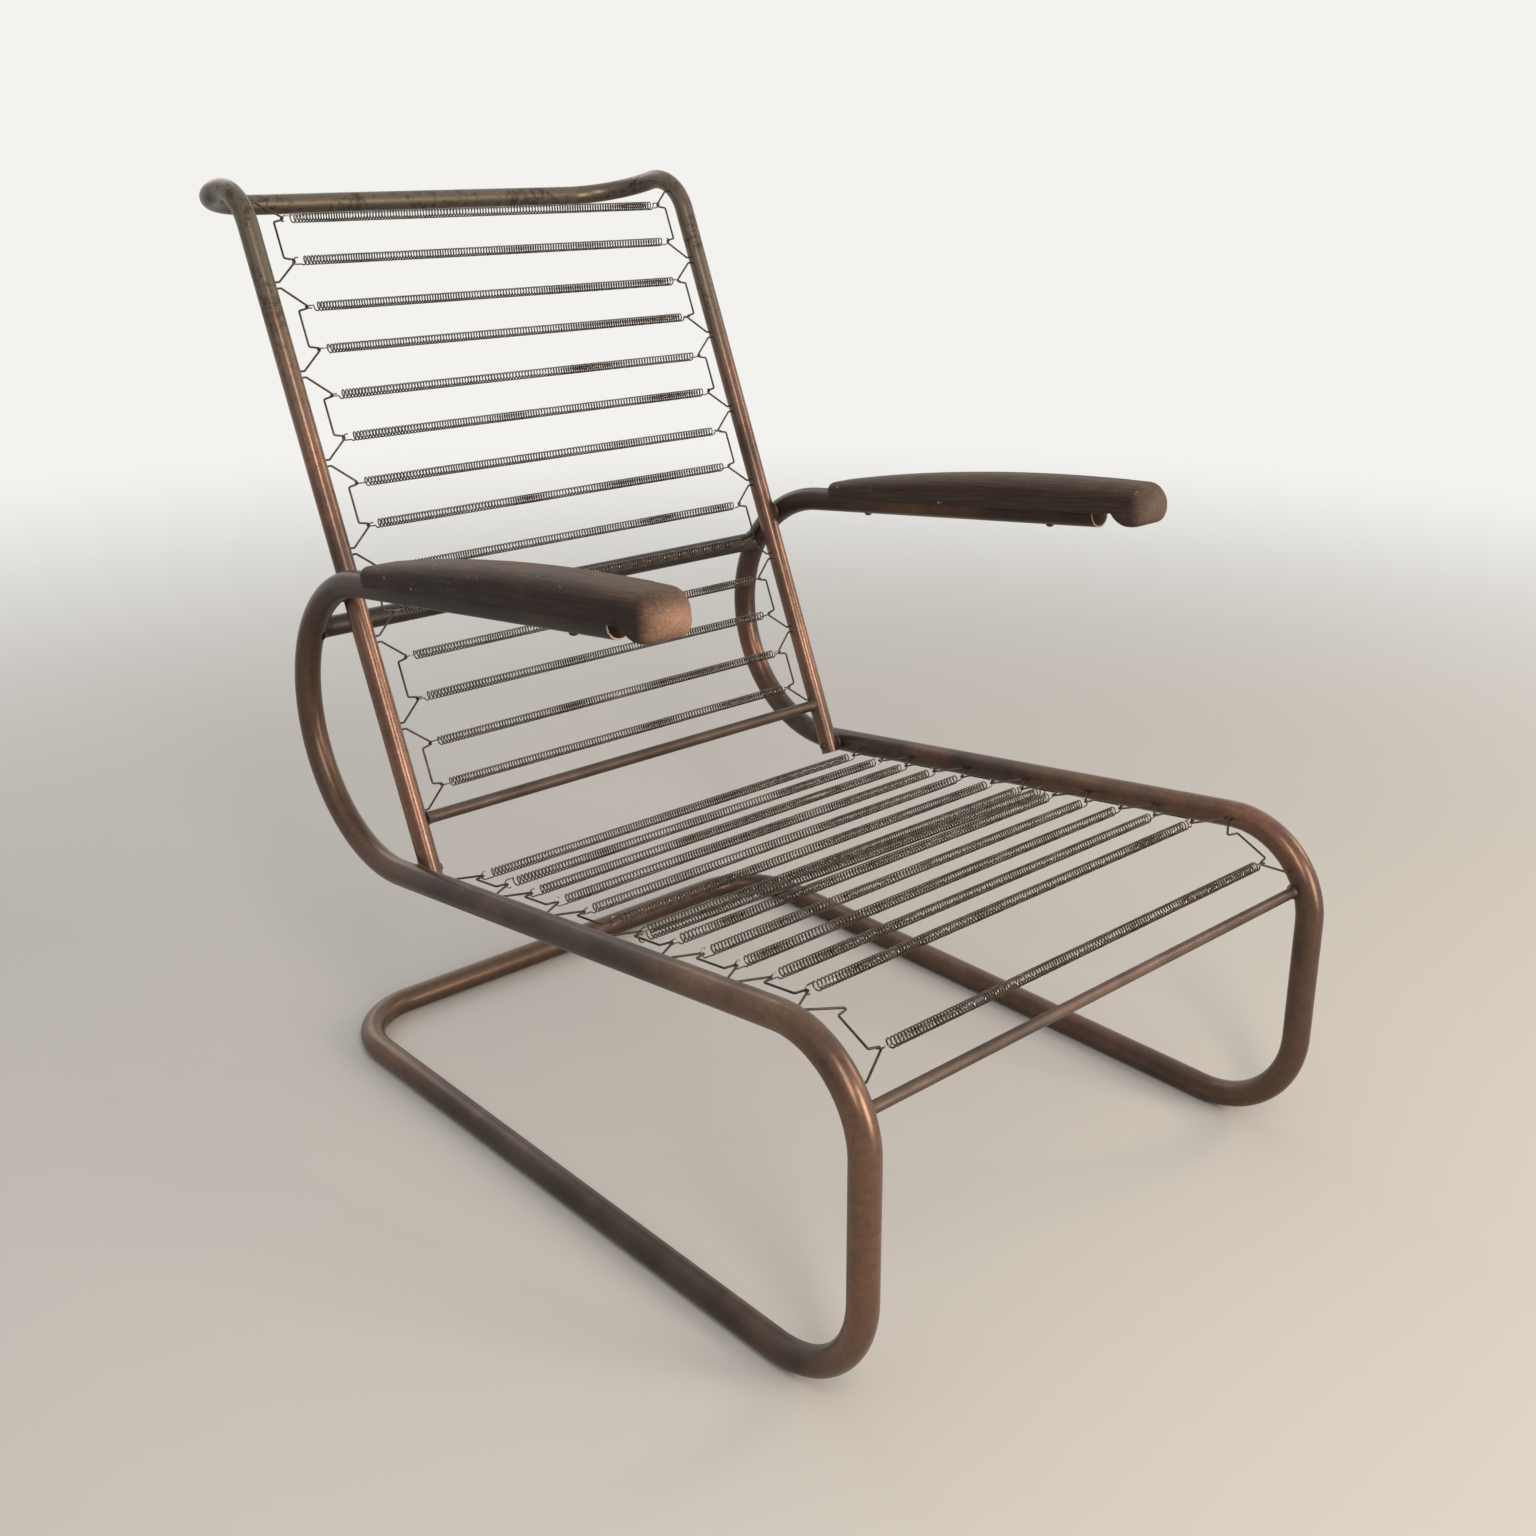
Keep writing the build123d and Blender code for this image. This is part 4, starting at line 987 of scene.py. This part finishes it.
def straight_spring(name, row, along):
    """A spring straight across, between the clip corners at one station."""
    point, up = row["line"](along)
    tip = row["tube_x"] - row["reach"]
    return spring(name, at_x(point, -tip), at_x(point, tip), up)


for number, along in enumerate(reversed(row_stations(BACK)), start=1):
    straight_spring(f"back_spring_{number:02d}", BACK, along)
for number, along in enumerate(row_stations(SEAT), start=1):
    if number != EMPTY_SLOT:
        straight_spring(f"seat_spring_{number:02d}", SEAT, along)

# %% [markdown]
# One seat spring has been taken off the front clips and hung on the long runs of the fourth pair, where
# it lies a little askew beside its neighbour.

# %% The moved spring
MOVED_CLIP, MOVED_LEFT, MOVED_RIGHT = 4, 20.0, 11.5
corner_along = SEAT["first"] + SEAT["pitch"] * (MOVED_CLIP - 1) - SEAT["spacing"] / 2
run_x = SIDE_X - SEAT["reach"] + CLIP_JOG
right_end = at_x(seat_line(corner_along + MOVED_RIGHT)[0], -run_x)
left_end = at_x(seat_line(corner_along + MOVED_LEFT)[0], run_x)
moved = spring(f"seat_spring_{EMPTY_SLOT}_moved", right_end, left_end, seat_up)
print(moved.name, len(moved.data.polygons), "faces")

# %% [markdown]
# An armrest is carved from one piece: a crowned top, rounded long edges, a groove over the tube and a
# nose that drops in front of the tube's open end. Boolean cuts could carve it, but they leave long thin
# faces that shade badly. So it is drawn as a row of cross sections along the tube. First come its
# heights and its half width at a distance u behind the tube's end.

# %% Armrest profile
REST_WIDTH, REST_TOP, REST_CREST, REST_REAR, REST_REAR_TOP = 46.0, 35.8, 95.0, 360.0, 22.0
REST_NOSE_DROP, REST_NOSE_FLAT, REST_EDGE, NOTCH = 8.0, 3.0, 4.0, 27.0
REST_END_ROUND = 20.0
rear_u = REST_REAR - (REST_REAR_TOP - REST_EDGE)
rise = REST_TOP - REST_REAR_TOP
crown_r = ((rear_u - REST_CREST) ** 2 + rise**2) / (2 * rise)
nose_u = (REST_TOP + REST_NOSE_DROP) / 2 - REST_NOSE


def crown(u):
    """Height of the crowned top, one wide arc."""
    return REST_TOP - crown_r + math.sqrt(crown_r**2 - (u - REST_CREST) ** 2)


nose_mid = (crown(nose_u) - REST_NOSE_DROP) / 2
nose_half = (crown(nose_u) + REST_NOSE_DROP) / 2


def rest_top(u):
    """Height of the top: round nose, crown, round rear end."""
    if u < nose_u:
        share = (nose_u - u) / (nose_u + REST_NOSE)
        return nose_mid + nose_half * math.sqrt(max(0.0, 1 - share**2))
    if u > rear_u:
        share = (u - rear_u) / (REST_REAR - rear_u)
        return REST_EDGE + (REST_REAR_TOP - REST_EDGE) * math.sqrt(max(0.0, 1 - share**2))
    return crown(u)


def rest_bottom(u):
    """Height of the underside: round nose, a short flat, a hollow up to the edge beside the tube."""
    if u < nose_u:
        share = (nose_u - u) / (nose_u + REST_NOSE)
        return nose_mid - nose_half * math.sqrt(max(0.0, 1 - share**2))
    past = u - nose_u - REST_NOSE_FLAT
    if past < 0:
        return -REST_NOSE_DROP
    across = -NOTCH - nose_u - REST_NOSE_FLAT
    climb = REST_EDGE + REST_NOSE_DROP
    bend = (across**2 + climb**2) / (2 * climb)
    if past > across:
        return REST_EDGE
    return bend - REST_NOSE_DROP - math.sqrt(bend**2 - past**2)


def rest_half_width(u):
    """Half the width, rounded in at both ends."""
    into = min(u + REST_NOSE, REST_REAR - u)
    if into >= REST_END_ROUND:
        return REST_WIDTH / 2
    short = REST_END_ROUND - into
    return REST_WIDTH / 2 - REST_END_ROUND + math.sqrt(max(0.0, REST_END_ROUND**2 - short**2))


print("crown radius", round(crown_r), "mm, nose", round(2 * nose_half), "mm high")

# %% [markdown]
# One section is four rounded corners and an underside, flat at the nose and grooved behind it. Every
# section has the same number of points, so a skin can join them one to one.

# %% Armrest section
GROOVE_EASE = 0.15
GROOVE_R = MAIN_R + GROOVE_EASE
REST_ROUND, LOWER_ROUND, NOSE_ROUND, GROOVE_HALF = 15.0, 2.0, 9.0, 12.3
ROUND_STEPS, GROOVE_STEPS = 8, 16


def rest_section(u, grooved):
    """One outline of the armrest, up its right side, over the top, down the left and back below."""
    w, top, low = rest_half_width(u), rest_top(u), rest_bottom(u)
    # A round never takes more than its share of the section.
    upper = min(REST_ROUND, w * 0.98, (top - low) * 0.5)
    lower = min(NOSE_ROUND, w * 0.6, (top - low) * 0.45)
    if u > -NOTCH:
        lower = min(LOWER_ROUND, w - GROOVE_HALF)
    rounds = [(-w + lower, low + lower, lower, 1.5), (-w + upper, top - upper, upper, 1.0)]
    rounds += [(w - upper, top - upper, upper, 0.5), (w - lower, low + lower, lower, 0.0)]
    outline = []
    for x, z, r, begin in rounds:
        for step in range(ROUND_STEPS + 1):
            angle = math.pi * (begin - step / (2 * ROUND_STEPS))
            outline.append((x + r * math.cos(angle), z + r * math.sin(angle)))
    first = math.asin(REST_EDGE / GROOVE_R)
    narrow = min(1.0, (w - lower) * 0.9 / (GROOVE_R * math.cos(first)))
    for step in range(GROOVE_STEPS + 1):
        angle = first + (math.pi - 2 * first) * step / GROOVE_STEPS
        lift = GROOVE_R * math.sin(angle) if grooved else low
        outline.append((GROOVE_R * math.cos(angle) * narrow, lift))
    return outline


print("points in a section", len(rest_section(0.0, True)))

# %% [markdown]
# Sections stand close together where the outline turns quickly, at the nose, in the hollow behind it
# and at the rear end. Where the groove begins, two of them stand almost together, which makes its step.

# %% Armrests
NOSE_RUN, NOSE_STEPS = 22.0, 15
HOLLOW_FROM, HOLLOW_RUN, HOLLOW_STEPS = -47.0, 20.0, 12
GROOVE_FROM, GROOVE_STEP, BEFORE_GROOVE = -13.5, 0.05, -20.0
BODY_STEP, BODY_STEPS = 12.0, 27
END_RUN, END_STEPS = 33.3, 16
REST_SHARP = 45.0
body_end = BODY_STEP * BODY_STEPS
stations = [(NOSE_RUN * (1 - math.cos(math.pi * t / (2 * NOSE_STEPS))) - REST_NOSE, False)
            for t in range(1, NOSE_STEPS + 1)]
stations += [(HOLLOW_FROM + HOLLOW_RUN * t / HOLLOW_STEPS, False) for t in range(HOLLOW_STEPS + 1)]
stations += [(BEFORE_GROOVE, False), (GROOVE_FROM - GROOVE_STEP, False), (GROOVE_FROM, True), (0.0, True)]
stations += [(BODY_STEP * t, True) for t in range(1, BODY_STEPS + 1)]
stations += [(body_end + END_RUN * math.sin(math.pi * t / (2 * END_STEPS)), True)
             for t in range(1, END_STEPS + 1)]


def armrest(name, side, wood):
    """A skin over the sections, closed at both ends."""
    end = at_x(arm_end, side * SIDE_X)
    shape = bmesh.new()
    rings = []
    for u, grooved in stations:
        ring = []
        for x, z in rest_section(u, grooved):
            ring.append(shape.verts.new((end + arm_dir * u + arm_up * z + Vector((x, 0, 0))) * MM))
        rings.append(ring)
    for ring, following in zip(rings, rings[1:]):
        for i in range(len(ring)):
            j = (i + 1) % len(ring)
            shape.faces.new((ring[i], ring[j], following[j], following[i]))
    shape.faces.new(rings[0])
    shape.faces.new(list(reversed(rings[-1])))
    bmesh.ops.recalc_face_normals(shape, faces=shape.faces)
    for face in shape.faces:
        face.smooth = True
    mesh = bpy.data.meshes.new(name)
    shape.to_mesh(mesh)
    shape.free()
    mesh.materials.append(wood)
    mesh.set_sharp_from_angle(angle=math.radians(REST_SHARP))
    piece = bpy.data.objects.new(name, mesh)
    scene.collection.objects.link(piece)
    return piece


for name, side, wood in (("left", 1, left_wood), ("right", -1, right_wood)):
    rest = keep(armrest(f"armrest_{name}_wood", side, wood), "stained_wood", f"armrest_{name}")
    print(rest.name, len(rest.data.polygons), "faces")

# %% [markdown]
# Last, the scene is brought up to date.

# %% Update the scene
bpy.context.view_layer.update()
